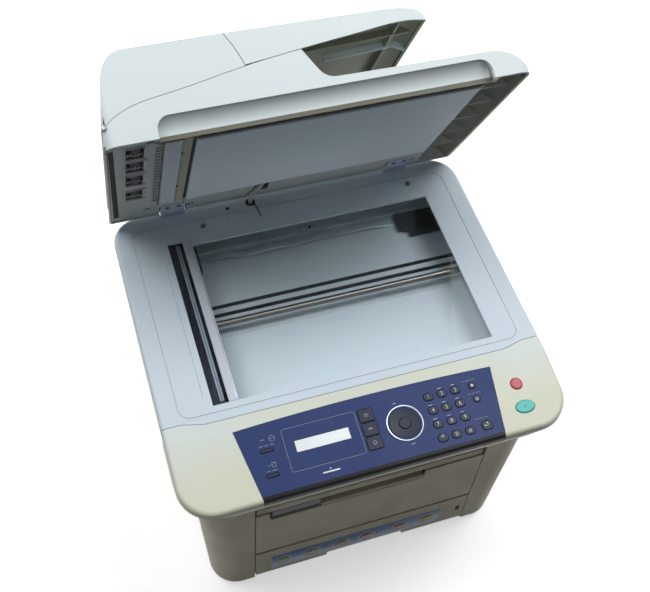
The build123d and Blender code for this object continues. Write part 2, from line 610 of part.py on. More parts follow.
def scanner_tub():
    """Lower scanner housing: floor under everything, walls behind the seam, rails and bosses."""
    floor = slab(foot_plan(2), TUB_Z, TUB_Z + WALL)
    skirt = slab(scanner_plan(1), TUB_Z, TUB_WALL_TOP_Z)
    skirt = skirt - slab(scanner_plan(1 + WALL), TUB_Z - 1, TUB_WALL_TOP_Z + 1)
    behind = block(-HALF, HALF, SEAM_Y + SEAM_STEP + 1, HALF, 0, DECK_Z)
    bulkhead = block(-HALF + 10, HALF - 10, SEAM_Y + SEAM_STEP + 2, SEAM_Y + SEAM_STEP + 2 + WALL, TUB_Z,
                     DECK_Z - COVER_PLATE_T - GAP)
    holders = [block(x - 4, x + 4, ROD_Y - 9, ROD_Y + 9, TUB_Z, ROD_Z + 1) for x in (ROD_X0 + 4, ROD_X1 - 4)]
    seats = rod_x(ROD_X0, ROD_X1, ROD_Y, ROD_Z, ROD_R + 0.05)
    rail = block(-RAIL_HALF, RAIL_HALF, CARRIAGE_Y0 + 6, CARRIAGE_Y0 + 10, TUB_Z, CARRIAGE_BOTTOM_Z - GAP)
    rail_rear = block(-RAIL_HALF, RAIL_HALF, CARRIAGE_Y1 - 4, CARRIAGE_Y1, TUB_Z, CARRIAGE_BOTTOM_Z - GAP)
    return floor + (skirt & behind) + bulkhead + Compound(holders) + rail + rail_rear - seats


def embossed_line():
    outer = outline(-GROOVE_X, GROOVE_X, GROOVE_Y0, GROOVE_Y1, GROOVE_R, GROOVE_R)
    inner = outline(-GROOVE_X + GROOVE_W, GROOVE_X - GROOVE_W, GROOVE_Y0 + GROOVE_W, GROOVE_Y1 - GROOVE_W,
                    GROOVE_R - GROOVE_W, GROOVE_R - GROOVE_W)
    return slab(outer - inner, DECK_Z - GROOVE_D, DECK_Z + 1)


def seam_face():
    """Area of the deck behind the seam, which steps back a little near both sides."""
    step = SEAM_STEP
    ends = HALF + 1
    points = [(-ends, SEAM_Y + step), (-HALF + 22, SEAM_Y + step), (-HALF + 46, SEAM_Y), (HALF - 46, SEAM_Y),
              (HALF - 22, SEAM_Y + step), (ends, SEAM_Y + step)]
    low = FilletPolyline(*points, radius=14)
    frame = Polyline(points[-1], (ends, HALF), (-ends, HALF), points[0])
    return make_face([low, frame])


def scanner_top_cover():
    """White deck with rolled edges, two windows, screw wells and the line pressed into it."""
    outer = slab(scanner_plan(0), TUB_WALL_TOP_Z + GAP, DECK_Z)
    outer = fillet(outer.edges().group_by(Axis.Z)[-1], DECK_ROUND)
    inner = slab(scanner_plan(WALL), TUB_WALL_TOP_Z, DECK_Z - COVER_PLATE_T)
    cover = (outer - inner) & slab(seam_face(), TUB_Z, DECK_Z + 1)
    platen = slab(outline(PLATEN_X0, PLATEN_X1, PLATEN_Y0, PLATEN_Y1, 1.5, 1.5), DECK_Z - 10, DECK_Z + 1)
    slit = block(SLIT_X0, SLIT_X1, PLATEN_Y0, SLIT_Y1, DECK_Z - 10, DECK_Z + 1)
    wells = [Pos(x, DECK_SCREW_Y, DECK_Z) * Cylinder(DECK_SCREW_R, 3) for x in DECK_SCREW_X]
    cable_hole = Pos(CABLE_HOLE[0], CABLE_HOLE[1], DECK_Z) * Cylinder(CABLE_R + 1.5, 20)
    hinge_holes = [block(x - HINGE_W / 2 - GAP, x + HINGE_W / 2 + GAP, POST_Y0 - GAP, SCANNER_REAR_Y + 1,
                         TUB_Z, DECK_Z + 1) for x in HINGE_X]
    return cover - embossed_line() - platen - slit - wells - cable_hole - hinge_holes


def glass_panes():
    top = DECK_Z - COVER_PLATE_T - GAP
    x0, x1 = PLATEN_X0 - GLASS_MARGIN, PLATEN_X1 + GLASS_MARGIN
    y0, y1 = PLATEN_Y0 - GLASS_MARGIN, PLATEN_Y1 + GLASS_MARGIN
    large = block(x0, x1, y0, y1, top - GLASS_T, top)
    small = block(SLIT_X0 - 4, x0 - 1, y0, SLIT_Y1 + 4, top - GLASS_T, top)
    return Compound([large, small])


def carriage():
    """Scan head: long body with lamp slit, mirror step and a bushing on the rod."""
    x0, x1 = CARRIAGE_X0, CARRIAGE_X0 + CARRIAGE_W
    body = block(x0, x1, CARRIAGE_Y0, CARRIAGE_Y1, CARRIAGE_BOTTOM_Z, CARRIAGE_TOP_Z)
    body = chamfer(body.edges().filter_by(Axis.Y).group_by(Axis.Z)[-1], 2)
    slit = block(x0 + 13, x0 + 17, CARRIAGE_Y0 + 6, CARRIAGE_Y1 - 6, CARRIAGE_TOP_Z - 8, CARRIAGE_TOP_Z + 1)
    step = block(x0 + 22, x1 + 1, CARRIAGE_Y0 - 1, CARRIAGE_Y1 + 1, CARRIAGE_TOP_Z - 3, CARRIAGE_TOP_Z + 1)
    rod_way = block(x0 - 1, x1 + 1, ROD_Y - ROD_R - 1.5, ROD_Y + ROD_R + 1.5, CARRIAGE_BOTTOM_Z - 1,
                    ROD_Z + ROD_R + 1)
    belt_way = block(x0 - 1, x1 + 1, BELT_Y0 - 2, BELT_Y1 + 2, CARRIAGE_BOTTOM_Z - 1, BELT_Z + BELT_H + 1)
    body = body - slit - step - rod_way - belt_way
    bush = block(x0 + 8, x1 - 8, ROD_Y - ROD_R - 2, ROD_Y + ROD_R + 2, ROD_Z - ROD_R - 2, ROD_Z + ROD_R + 2)
    bush = bush - rod_x(x0, x1, ROD_Y, ROD_Z, ROD_R + 0.1)
    return body + bush


def carriage_rod():
    return rod_x(ROD_X0, ROD_X1, ROD_Y, ROD_Z, ROD_R)


def scan_belt():
    """Closed belt loop round two pulleys of the same size."""
    span = 2 * PULLEY_X
    wide = BELT_Y1 - BELT_Y0
    loop = SlotOverall(span + wide, wide) - SlotOverall(span + wide - 2 * BELT_T, wide - 2 * BELT_T)
    return slab(Pos(0, (BELT_Y0 + BELT_Y1) / 2) * loop, BELT_Z, BELT_Z + BELT_H)


def scan_motor():
    """Dark motor cover at the rear right corner, with its drive pulley and the idler pulley."""
    mid_y = (BELT_Y0 + BELT_Y1) / 2
    r = (BELT_Y1 - BELT_Y0) / 2 - BELT_T - BELT_RUN
    step_x = MOTOR_X0 + 12
    plan = Polyline((MOTOR_X0, MOTOR_Y1), (MOTOR_X1, MOTOR_Y1), (MOTOR_X1, MOTOR_Y0), (step_x, MOTOR_Y0),
                    (step_x, MOTOR_Y0 + 8), (MOTOR_X0, MOTOR_Y0 + 12), close=True)
    cover = slab(make_face(plan), TUB_Z + WALL, CARRIAGE_BOTTOM_Z - 1)
    parts = [cover]
    for x in (-PULLEY_X, PULLEY_X):
        pulley = Pos(x, mid_y, 0) * slab(Circle(r), TUB_Z + WALL, BELT_Z + BELT_H)
        flange = Pos(x, mid_y, 0) * slab(Circle(r + 2.5), BELT_Z + BELT_H, BELT_Z + BELT_H + 1.2)
        parts.append(pulley + flange)
    return Compound(parts)


def ribbon_cable():
    """Flat cable that lies in low waves along the rear of the tub floor."""
    bottom = TUB_Z + WALL + GAP
    crest = [(RIBBON_X0 + RIBBON_PITCH / 2 * i, bottom + RIBBON_WAVE * (i % 2))
             for i in range(2 * RIBBON_WAVES + 1)]
    back = [(x, z + RIBBON_T) for x, z in reversed(crest)]
    face = make_face([Spline(*crest), Line(crest[-1], back[0]), Spline(*back), Line(back[-1], crest[0])])
    return extrude(front_plane(0, RIBBON_Y + RIBBON_W / 2, 0) * face, RIBBON_W)


# Control panel

def panel_plane():
    tilt = math.radians(PANEL_TILT)
    out = (0, -math.sin(tilt), math.cos(tilt))
    return Plane(origin=(0, FASCIA_BACK_Y, DECK_Z - PANEL_SINK), x_dir=(1, 0, 0), z_dir=out)


def on_panel(x, y):
    """Place on the fascia over plan position (x, y), with its local z out of the panel."""
    return panel_plane() * Pos(x, (y - FASCIA_BACK_Y) / math.cos(math.radians(PANEL_TILT)), 0)


def fascia_face(grow):
    span = (FASCIA_BACK_Y - FASCIA_FRONT_Y) / math.cos(math.radians(PANEL_TILT))
    back = FASCIA_BACK_HALF + grow
    front = FASCIA_FRONT_HALF + grow
    arch = ThreePointArc((-back, -2 + grow), (0, 2 + grow), (back, -2 + grow))
    rest = Polyline((back, -2 + grow), (front, -span - grow), (-front, -span - grow), (-back, -2 + grow))
    return make_face([arch, rest])


def panel_front_z():
    return DECK_Z - PANEL_DROP * (FASCIA_BACK_Y - PANEL_FRONT_Y) / (FASCIA_BACK_Y - FASCIA_FRONT_Y)


def panel_form(inset):
    """Front cover's plan drawn upwards, with a front that leans in below the lip."""
    lean_z = LIP_BOTTOM_Z - GAP
    foot = loft([Pos(0, 0, TUB_Z + WALL + GAP) * foot_plan(inset), Pos(0, 0, lean_z) * scanner_plan(inset)])
    return foot + slab(scanner_plan(inset), lean_z, DECK_Z + 1)


def panel_body():
    """Full outer form of the front cover with its rolled upper rim."""
    y1 = SEAM_Y + 20
    side = side_profile([(y1, TUB_Z), (PANEL_FRONT_Y - 1, TUB_Z), (PANEL_FRONT_Y - 1, panel_front_z() - 0.1),
                         (FASCIA_BACK_Y, DECK_Z), (y1, DECK_Z)], -HALF - 1, HALF + 1)
    body = panel_form(0) & side
    low = panel_front_z() - 1
    rim = [e for e in body.edges() if e.bounding_box().min.Z > low and e.bounding_box().size.X < 2 * HALF - 1
           and e.center().Y < y1 - 1]
    return fillet(rim, PANEL_ROUND)


def lip_room(grow):
    """Space of the fascia's front lip."""
    half = FASCIA_FRONT_HALF + grow
    return block(-half, half, PANEL_FRONT_Y - 1, PANEL_FRONT_Y + LIP_T + grow, LIP_BOTTOM_Z - grow, DECK_Z)


def lip_bridge(grow):
    """Strip that carries the fascia's face over to its lip."""
    tilt = math.cos(math.radians(PANEL_TILT))
    front = (PANEL_FRONT_Y - FASCIA_BACK_Y) / tilt
    back = (FASCIA_FRONT_Y + 1 - FASCIA_BACK_Y) / tilt
    return Pos(0, (front + back) / 2) * Rectangle(2 * FASCIA_FRONT_HALF + 2 * grow, back - front)


def panel_cover():
    """Cream front cover: sloping top with a seat for the fascia, rolled rim and open underside."""
    y1 = SEAM_Y + 21
    hollow = side_profile([(y1, TUB_Z - 1), (PANEL_FRONT_Y, TUB_Z - 1),
                           (PANEL_FRONT_Y, panel_front_z() - 4.2), (FASCIA_BACK_Y, DECK_Z - 4),
                           (y1, DECK_Z - 4)], -HALF, HALF)
    cover = panel_body() - (panel_form(WALL) & hollow) - lip_room(GAP)
    seam = slab(seam_face(), TUB_Z - 1, DECK_Z + 2)
    cover = cover - Pos(0, -FIT, 0) * seam
    seat = extrude(panel_plane() * fascia_face(GAP), FASCIA_T, both=True)
    seat = seat + extrude(panel_plane() * lip_bridge(GAP), FASCIA_T, both=True)
    through = extrude(panel_plane() * fascia_face(-FASCIA_LEDGE), 12, both=True)
    stop_hole = on_panel(*STOP_AT) * Cylinder(STOP_R + KEY_GAP, 30)
    start_hole = extrude(on_panel(*START_AT) * Ellipse(START_RX + KEY_GAP, START_RY + KEY_GAP), 15, both=True)
    return cover - seat - through - stop_hole - start_hole


def key_table():
    """Every fascia key: name, plan place, outline and width of the flange under the fascia."""
    keys = []
    names = iter(("1", "2", "3", "4", "5", "6", "7", "8", "9", "star", "0", "hash"))
    for y in KEY_ROWS:
        for x in KEY_COLUMNS:
            keys.append(("key_" + next(names), (x, y), RectangleRounded(*KEY_SIZE, 4), KEY_FLANGE))
    keys.append(("redial_key", (SIDE_COLUMN, KEY_ROWS[0]), RectangleRounded(8, 7, 3), KEY_FLANGE))
    keys.append(("pause_key", (SIDE_COLUMN, KEY_ROWS[1]), RectangleRounded(8, 7, 3), KEY_FLANGE))
    keys.append(("on_hook_key", (SIDE_COLUMN, KEY_ROWS[3] + 1), RectangleRounded(12.5, 10.5, 4), KEY_FLANGE))
    for i, name in enumerate(("menu_key", "back_key", "cancel_key")):
        y = STACK_TOP - STACK_PITCH * (i + 0.5)
        keys.append((name, (STACK_X, y), RectangleRounded(STACK_W, STACK_PITCH - 1, 2), KEY_GAP))
    for name, spot in zip(("id_copy_key", "usb_print_key"), SLIM_AT):
        keys.append((name, spot, RectangleRounded(*SLIM_SIZE, 1.5), KEY_FLANGE))
    keys.append(("ok_button", NAV_AT, Circle(OK_R), KEY_FLANGE))
    return keys


def key_cap(spot, face, lip):
    """Cap with a bevelled rim, and a flange below that stops it under the fascia."""
    base = on_panel(*spot)
    cap = extrude(base * Pos(0, 0, -KEY_DEPTH) * face, KEY_DEPTH + KEY_RISE)
    top = cap.faces().sort_by(Axis.Z)[-1]
    cap = chamfer(top.edges(), 0.6)
    flange = extrude(base * Pos(0, 0, -KEY_DEPTH) * offset(face, amount=lip), FLANGE_T)
    return cap + flange


def nav_pad():
    """Round rocker with a dished face and a bore for the centre button."""
    base = on_panel(*NAV_AT)
    disc = base * Pos(0, 0, -KEY_DEPTH) * stud(NAV_R, KEY_DEPTH + 1.4)
    dish_r = 110.0
    dish = base * Pos(0, 0, dish_r - 0.4) * Sphere(dish_r)
    bore = base * Cylinder(OK_R + KEY_GAP + KEY_FLANGE + 0.6, 40)
    flange = base * Pos(0, 0, -KEY_DEPTH) * stud(NAV_R + KEY_FLANGE, FLANGE_T)
    neck = base * Pos(0, 0, -2.6) * stud(NAV_R - 1, 3)
    neck = neck - base * Cylinder(OK_R + KEY_GAP, 40)
    return (disc + flange - bore + neck) - dish


def panel_fascia():
    """Navy plate with a hole for every key, a raised ring, a front lip and windows for display and lamp."""
    plate = extrude(panel_plane() * Pos(0, 0, -FASCIA_T + GAP) * fascia_face(0), FASCIA_T - GAP)
    for name, spot, face, lip in key_table():
        if name == "ok_button":
            continue
        plate = plate - extrude(on_panel(*spot) * offset(face, amount=KEY_GAP), 8, both=True)
    ring = on_panel(*NAV_AT) * (Cylinder(NAV_RING_R, 1.6) - Cylinder(NAV_R + KEY_GAP, 30))
    hole = on_panel(*NAV_AT) * Cylinder(NAV_R + KEY_GAP, 30)
    display = extrude(on_panel(*DISPLAY_AT) * RectangleRounded(*DISPLAY_SIZE, 1), 4, both=True)
    lamp = extrude(on_panel(*LAMP_AT) * RectangleRounded(*LAMP_SIZE, 0.9), 0.6, both=True)
    body = panel_body()
    front = block(-HALF, HALF, PANEL_FRONT_Y - 1, PANEL_FRONT_Y + PANEL_ROUND, TUB_Z, DECK_Z + 1)
    lip = body & lip_room(0)
    bridge = extrude(panel_plane() * Pos(0, 0, -FASCIA_T + GAP) * lip_bridge(0), FASCIA_T - GAP)
    plate = (plate + bridge) - (front - body) + lip
    return plate + ring - hole - display - lamp


def display_window():
    face = RectangleRounded(DISPLAY_SIZE[0] - 2 * GAP, DISPLAY_SIZE[1] - 2 * GAP, 0.8)
    return extrude(on_panel(*DISPLAY_AT) * Pos(0, 0, -FASCIA_T - 2) * face, FASCIA_T + 1.4)


def stop_button():
    base = on_panel(*STOP_AT)
    cap = base * Pos(0, 0, -KEY_DEPTH) * stud(STOP_R, KEY_DEPTH + BUTTON_RISE)
    cap = fillet(cap.edges().sort_by(Axis.Z)[-1], 1.6)
    flange = base * Pos(0, 0, -KEY_DEPTH) * stud(STOP_R + KEY_FLANGE, FLANGE_T)
    return cap + flange


def start_button():
    base = on_panel(*START_AT)
    cap = extrude(base * Pos(0, 0, -KEY_DEPTH) * Ellipse(START_RX, START_RY), KEY_DEPTH + BUTTON_RISE)
    cap = fillet(cap.edges().sort_by(Axis.Z)[-1], 1.4)
    rim = Ellipse(START_RX + KEY_FLANGE, START_RY + KEY_FLANGE)
    flange = extrude(base * Pos(0, 0, -KEY_DEPTH) * rim, FLANGE_T)
    return cap + flange


# Lid and document feeder, drawn closed

def seam_curve(raise_by):
    """Seam between lid and feeder cover on the front wall, as (x, height) points."""
    start_h = SEAM_LEFT_H + SEAM_START_RISE
    seam = [(-HALF + dx, start_h + share * (BAY_H - start_h)) for dx, share in SEAM_STEPS]
    return [(x, h + raise_by) for x, h in seam + [(BAY_X, BAY_H)]]


def lid_front_face():
    left = -HALF
    start = (left + SEAM_START_X, SEAM_LEFT_H + SEAM_START_RISE)
    foot = Polyline((HALF, 0), (left, 0), (left + 2.5, SEAM_LEFT_H), start)
    seam = Spline(start, *seam_curve(0))
    bay = Polyline((BAY_X, BAY_H), (-1, 42))
    curl = Spline((-1, 42), (6, LID_DECK_H + 3), (17, LID_DECK_H), tangents=((1, -1.9), (1, 0)))
    round_top = (LID_ROUND_X, LID_DECK_H - LID_FALL)
    top = Line((17, LID_DECK_H), round_top)
    end = ThreePointArc(round_top, (LID_ROUND_X + 22, 19), (HALF, 0))
    return make_face([foot, seam, bay, curl, top, end])


def lid_shell():
    """Lid moulding: thin walls, paper deck, rounded right end, grip scoop and triangular webs."""
    shell = lid_prism(lid_front_face(), LID_V_REAR, LID_V_FRONT)
    shell = shell & slab(lid_plan(0), LID_UNDER_Z - 1, LID_UNDER_Z + 90)
    w = LID_WALL
    right_low = (HALF - w - 1, -1)
    right_mid = (LID_ROUND_X + 19.5, 17)
    right_top = (LID_ROUND_X - 3, LID_DECK_H - LID_FALL - w)
    rounded = make_face([Polyline(right_top, (-HALF + w, LID_DECK_H - w), (-HALF + w, -1), right_low),
                         ThreePointArc(right_low, right_mid, right_top)])
    under = lid_prism(rounded, LID_V_REAR + w, LID_V_FRONT - w)
    under = under & slab(lid_plan(w), LID_UNDER_Z - 2, LID_UNDER_Z + 90)
    grip_v = LID_V_FRONT - GRIP_DEPTH - w
    grip_wall = lid_box(GRIP_X0 - 6, GRIP_X1 + 6, grip_v, LID_V_FRONT - 1, -2, LID_DECK_H)
    under = under - grip_wall
    well = slab(lid_plan(w), LID_UNDER_Z, LID_UNDER_Z + ADF_TOP_H)
    upper = lid_box(-HALF + w, 60, LID_V_REAR + w, LID_V_FRONT - w, LID_DECK_H, ADF_TOP_H) & well
    left_open = lid_box(-HALF + w, -HALF + 22.5, LID_V_REAR + w, LID_V_FRONT - w, 10, ADF_TOP_H) & well
    shell = shell - under - upper - left_open - grip_scoop()
    knuckle_room = lid_shaft(LID_V_REAR + w, LID_V_FRONT - w, COVER_AXIS_X, COVER_AXIS_H,
                             COVER_KNUCKLE_R + FIT)
    shell = shell - knuckle_room + cover_pins() + webs()
    hinge_room = [lid_box(x - HINGE_W / 2 - 1, x + HINGE_W / 2 + 1, 0, 13, -2, 13) for x in HINGE_X]
    return shell - hinge_room


def lid_plan(inset):
    """Plan of the lid with rounded front corners."""
    y0 = LID_V0_Y - LID_V_FRONT + inset
    y1 = LID_V0_Y - LID_V_REAR - inset
    return outline(-HALF + inset, HALF - inset, y0, y1, LID_CORNER - inset, 6 - inset)


def grip_scoop():
    """Finger scoop under the front edge, curved in section and rounded at both ends."""
    mid = (GRIP_X0 + GRIP_X1) / 2
    long = lid_prism(Pos(mid, 0) * RectangleRounded(GRIP_X1 - GRIP_X0, 2 * GRIP_H, GRIP_R),
                     LID_V_FRONT - GRIP_DEPTH - 1, LID_V_FRONT + 1)
    y_front = LID_V0_Y - LID_V_FRONT
    arc = ThreePointArc((0, y_front + GRIP_DEPTH, LID_UNDER_Z + 2), (0, y_front + 8, LID_UNDER_Z + 14),
                        (0, y_front - 1, LID_UNDER_Z + GRIP_H + 1))
    rest = Polyline((0, y_front - 1, LID_UNDER_Z + GRIP_H + 1), (0, y_front - 1, LID_UNDER_Z - 1),
                    (0, y_front + GRIP_DEPTH, LID_UNDER_Z - 1), (0, y_front + GRIP_DEPTH, LID_UNDER_Z + 2))
    section = make_face([arc, rest])
    across = extrude(Pos(GRIP_X0 - 1, 0, 0) * section, GRIP_X1 - GRIP_X0 + 2, dir=(1, 0, 0))
    return long & across


def webs():
    """Five triangular webs under the rounded right end."""
    low_h, high_h = 6, LID_DECK_H - 4
    web = make_face(Polyline((LID_ROUND_X - 10, high_h), (LID_ROUND_X - 10, low_h), (LID_ROUND_X + 28, low_h),
                             (LID_ROUND_X + 14, 19), (LID_ROUND_X, high_h - 0.5), close=True))
    return [lid_prism(web, v, v + 2) for v in WEB_V]


def cover_pins():
    """An ear on each end wall with a pin that carries the feeder cover."""
    w = LID_WALL
    ears = [lid_shaft(v, v + w, COVER_AXIS_X, COVER_AXIS_H, COVER_KNUCKLE_R)
            for v in (LID_V_REAR, LID_V_FRONT - w)]
    pins = [lid_shaft(v, v + COVER_PIN_L, COVER_AXIS_X, COVER_AXIS_H, COVER_PIN_R)
            for v in (LID_V_REAR + w - 1, LID_V_FRONT - w + 1 - COVER_PIN_L)]
    return ears + pins


def cover_outline(inset, foot_h):
    """Outer curve of the feeder cover; the right edge is an arc about the cover's own hinge."""
    r = COVER_SEAM_R - inset
    top = ADF_TOP_H - inset
    reach = math.sqrt(r * r - (top - COVER_AXIS_H) ** 2)
    low = math.sqrt(r * r - (foot_h - COVER_AXIS_H) ** 2)
    mid_h = (top + foot_h) / 2
    mid = math.sqrt(r * r - (mid_h - COVER_AXIS_H) ** 2)
    edge = ThreePointArc((COVER_AXIS_X + reach, top), (COVER_AXIS_X + mid, mid_h),
                         (COVER_AXIS_X + low, foot_h))
    left = COVER_AXIS_X - COVER_KNUCKLE_R + inset
    lean = (left + 9, ADF_TOP_H - 28.5)
    bend = (COVER_AXIS_X + 15.5 + inset, ADF_TOP_H - 8.5 - inset)
    crest = (COVER_AXIS_X + 34.5, top)
    wall = Line((left, COVER_AXIS_H), lean)
    shoulder = Spline(lean, bend, crest, tangents=((0.2, 1), (1, 0)))
    flat = Line(crest, (COVER_AXIS_X + reach, top))
    return [wall, shoulder, flat, edge], (COVER_AXIS_X + low, foot_h)


def adf_cover():
    """Feeder cover: one curved shell with end walls that follow the seam, and a hinge barrel."""
    edges, corner = cover_outline(0, BAY_H - COVER_FOOT)
    left = COVER_AXIS_X - COVER_KNUCKLE_R
    foot = COVER_AXIS_H - 2
    close = Polyline(corner, (COVER_AXIS_X, foot), (left + COVER_CHAMFER, foot), (left, foot + COVER_CHAMFER),
                     (left, COVER_AXIS_H))
    outer = lid_prism(make_face(edges + [close]), LID_V_REAR, LID_V_FRONT)
    outer = outer & slab(lid_plan(0), LID_UNDER_Z, LID_UNDER_Z + 110)
    inner_edges, inner_corner = cover_outline(LID_WALL, LID_DECK_H)
    floor = Polyline(inner_corner, (left + LID_WALL, 5), (left + LID_WALL, COVER_AXIS_H))
    inner = lid_prism(make_face(inner_edges + [floor]), LID_V_REAR + LID_WALL, LID_V_FRONT - LID_WALL)
    ear_v = LID_WALL + GAP
    barrel = lid_shaft(LID_V_REAR + ear_v, LID_V_FRONT - ear_v, COVER_AXIS_X, COVER_AXIS_H, COVER_KNUCKLE_R)
    below_seam = lid_prism(Pos(0, GAP) * lid_front_face(), LID_V_REAR - 1, LID_V_FRONT + 1)
    slot_h = ADF_TOP_H - 2 * TRAY_DISH
    seam_x = COVER_AXIS_X + COVER_SEAM_R
    entry = lid_box(seam_x - ENTRY_DEPTH, seam_x + ENTRY_DEPTH, LID_V_REAR + ENTRY_INSET,
                    LID_V_FRONT - ENTRY_INSET, slot_h, slot_h + ENTRY_H)
    cover = outer - inner - below_seam - entry + barrel
    for v0, v1 in ((0, LID_V_REAR + ear_v), (LID_V_FRONT - ear_v, LID_V_FRONT + 1)):
        cover = cover - lid_shaft(v0, v1, COVER_AXIS_X, COVER_AXIS_H, COVER_KNUCKLE_R + COVER_EAR_ROOM)
    for v in (LID_V_REAR + LID_WALL - 1, LID_V_FRONT - LID_WALL + 1 - COVER_PIN_L):
        cover = cover - lid_shaft(v - FIT, v + COVER_PIN_L + FIT, COVER_AXIS_X, COVER_AXIS_H,
                                  COVER_PIN_R + HINGE_RUN)
    return cover


def input_tray():
    """Document tray over the output bay: dished top, side skirts, rounded free end, rails and a cross rib."""
    r = COVER_SEAM_R + FIT
    top = ADF_TOP_H
    start_top = COVER_AXIS_X + math.sqrt(r * r - (top - COVER_AXIS_H) ** 2)
    foot_h = BAY_H - TRAY_FOOT
    mid_h = (top + foot_h) / 2
    end_h = top - TRAY_THICK
    start_low = COVER_AXIS_X + math.sqrt(r * r - (foot_h - COVER_AXIS_H) ** 2)
    start_mid = COVER_AXIS_X + math.sqrt(r * r - (mid_h - COVER_AXIS_H) ** 2)
    joint = ThreePointArc((start_low, foot_h), (start_mid, mid_h), (start_top, top))
    flat = Line((start_top, top), (TRAY_BEND_X, top - 2))
    nose = Spline((TRAY_BEND_X, top - 2), (TRAY_END_X - 17, top - 5), (TRAY_END_X, end_h),
                  tangents=((1, -0.03), (0.05, -1)))
    under = Spline((TRAY_END_X, end_h), (TRAY_END_X - 14, end_h + 2.5), (TRAY_BEND_X, end_h),
                   (BAY_X, BAY_H + FIT), (start_low, foot_h))
    tray = lid_prism(make_face([joint, flat, nose, under]), LID_V_REAR, LID_V_FRONT)
    floor_right = top - TRAY_DISH
    floor_left = top - 2 * TRAY_DISH
    end = TRAY_END_X - 3
    dish = make_face(Polyline((start_top - 1, floor_left), (end - 4, floor_right), (end - 4, top + 5),
                              (start_top - 1, top + 5), close=True))
    room = make_face(Polyline((start_low + 4, LID_DECK_H), (end, LID_DECK_H), (end, floor_right - LID_WALL),
                              (start_low + 4, floor_left - LID_WALL), close=True))
    dish = lid_prism(dish, LID_V_REAR + 14, LID_V_FRONT - 14)
    room = lid_prism(room, LID_V_REAR + LID_WALL, LID_V_FRONT - LID_WALL)
    left_h = floor_left - LID_WALL
    right_h = floor_right - LID_WALL
    rail = make_face(Polyline((start_low + 4, left_h + 1), (end, right_h + 1), (end, right_h - TRAY_RIB_H),
                              (start_low + 4, left_h - TRAY_RIB_H), close=True))
    rails = [lid_prism(rail, v, v + TRAY_RIB_T) for v in TRAY_RAILS]
    rib_x = TRAY_END_X - 26
    cross = lid_box(rib_x, rib_x + TRAY_RIB_T, LID_V_REAR + 2, LID_V_FRONT - 2, right_h - TRAY_RIB_H, right_h)
    return tray - room + rails + cross - dish


def guide_floor(x):
    """Height of the dished floor under a guide at x."""
    r = COVER_SEAM_R + FIT
    x0 = COVER_AXIS_X + math.sqrt(r * r - (ADF_TOP_H - COVER_AXIS_H) ** 2) - 1
    share = (x - x0) / (TRAY_END_X - 7 - x0)
    return ADF_TOP_H - TRAY_DISH * (2 - share)


def guide_face(height):
    low = guide_floor(GUIDE_X0) + GAP
    high = guide_floor(GUIDE_X1) + GAP
    top = high + height
    return make_face(Polyline((GUIDE_X0, low), (GUIDE_X1, high), (GUIDE_X1, high + height / 2),
                              (GUIDE_X1 - 6, top), (GUIDE_X0 + 4, top), (GUIDE_X0, low + height / 2),
                              close=True))


def document_guide(side):
    """Upright fin with a flat foot; the two slide towards each other."""
    mid = (LID_V_REAR + LID_V_FRONT) / 2
    v = mid + side * GUIDE_SPREAD
    fin = lid_prism(guide_face(GUIDE_HEIGHT), v - 1.5, v + 1.5)
    foot = lid_prism(guide_face(1.6), min(v, v - side * 16), max(v, v - side * 16))
    return fin + foot


def hinge_seats():
    """Recesses that take the hinge leaves, cut through only round the knuckles."""
    seats = []
    for x in HINGE_X:
        x0 = x - HINGE_W / 2 - GAP
        x1 = x + HINGE_W / 2 + GAP
        seats.append(lid_box(x0, x1, 0, KNUCKLE_ROOM_V, LINER_H - 2, LINER_H + 4))
        seats.append(lid_box(x0, x1, 0, LEAF_END_V + GAP, LINER_H - 2, LEAF_TOP_H + GAP))
    return seats


def lid_liner():
    """Pale underside plate that carries the mat, with a raised bead all round."""
    x0, x1 = MAT_X0 - 1.5, MAT_X1 + 3
    v0, v1 = LID_V_REAR + LID_WALL + FIT, LID_V_FRONT - GRIP_DEPTH - LID_WALL - FIT
    face = lid_box(x0, x1, v0, v1, LINER_H, LINER_H + LINER_T)
    bead = lid_box(x0, x1, MAT_V0 - 8, MAT_V0 - 5, LINER_H - 1, LINER_H + 1)
    cable_cut = lid_box(-46, -27, 20, 56, LINER_H - 3, LINER_H + 6)
    return face + bead - hinge_seats() - cable_cut


def lid_mat():
    """Document mat, a sealed white sheet on foam."""
    y0 = LID_V0_Y - MAT_V1
    y1 = LID_V0_Y - MAT_V0
    return slab(outline(MAT_X0, MAT_X1, y0, y1, 2, 2), LID_UNDER_Z - MAT_DROP, LID_UNDER_Z + LINER_H - 0.1)


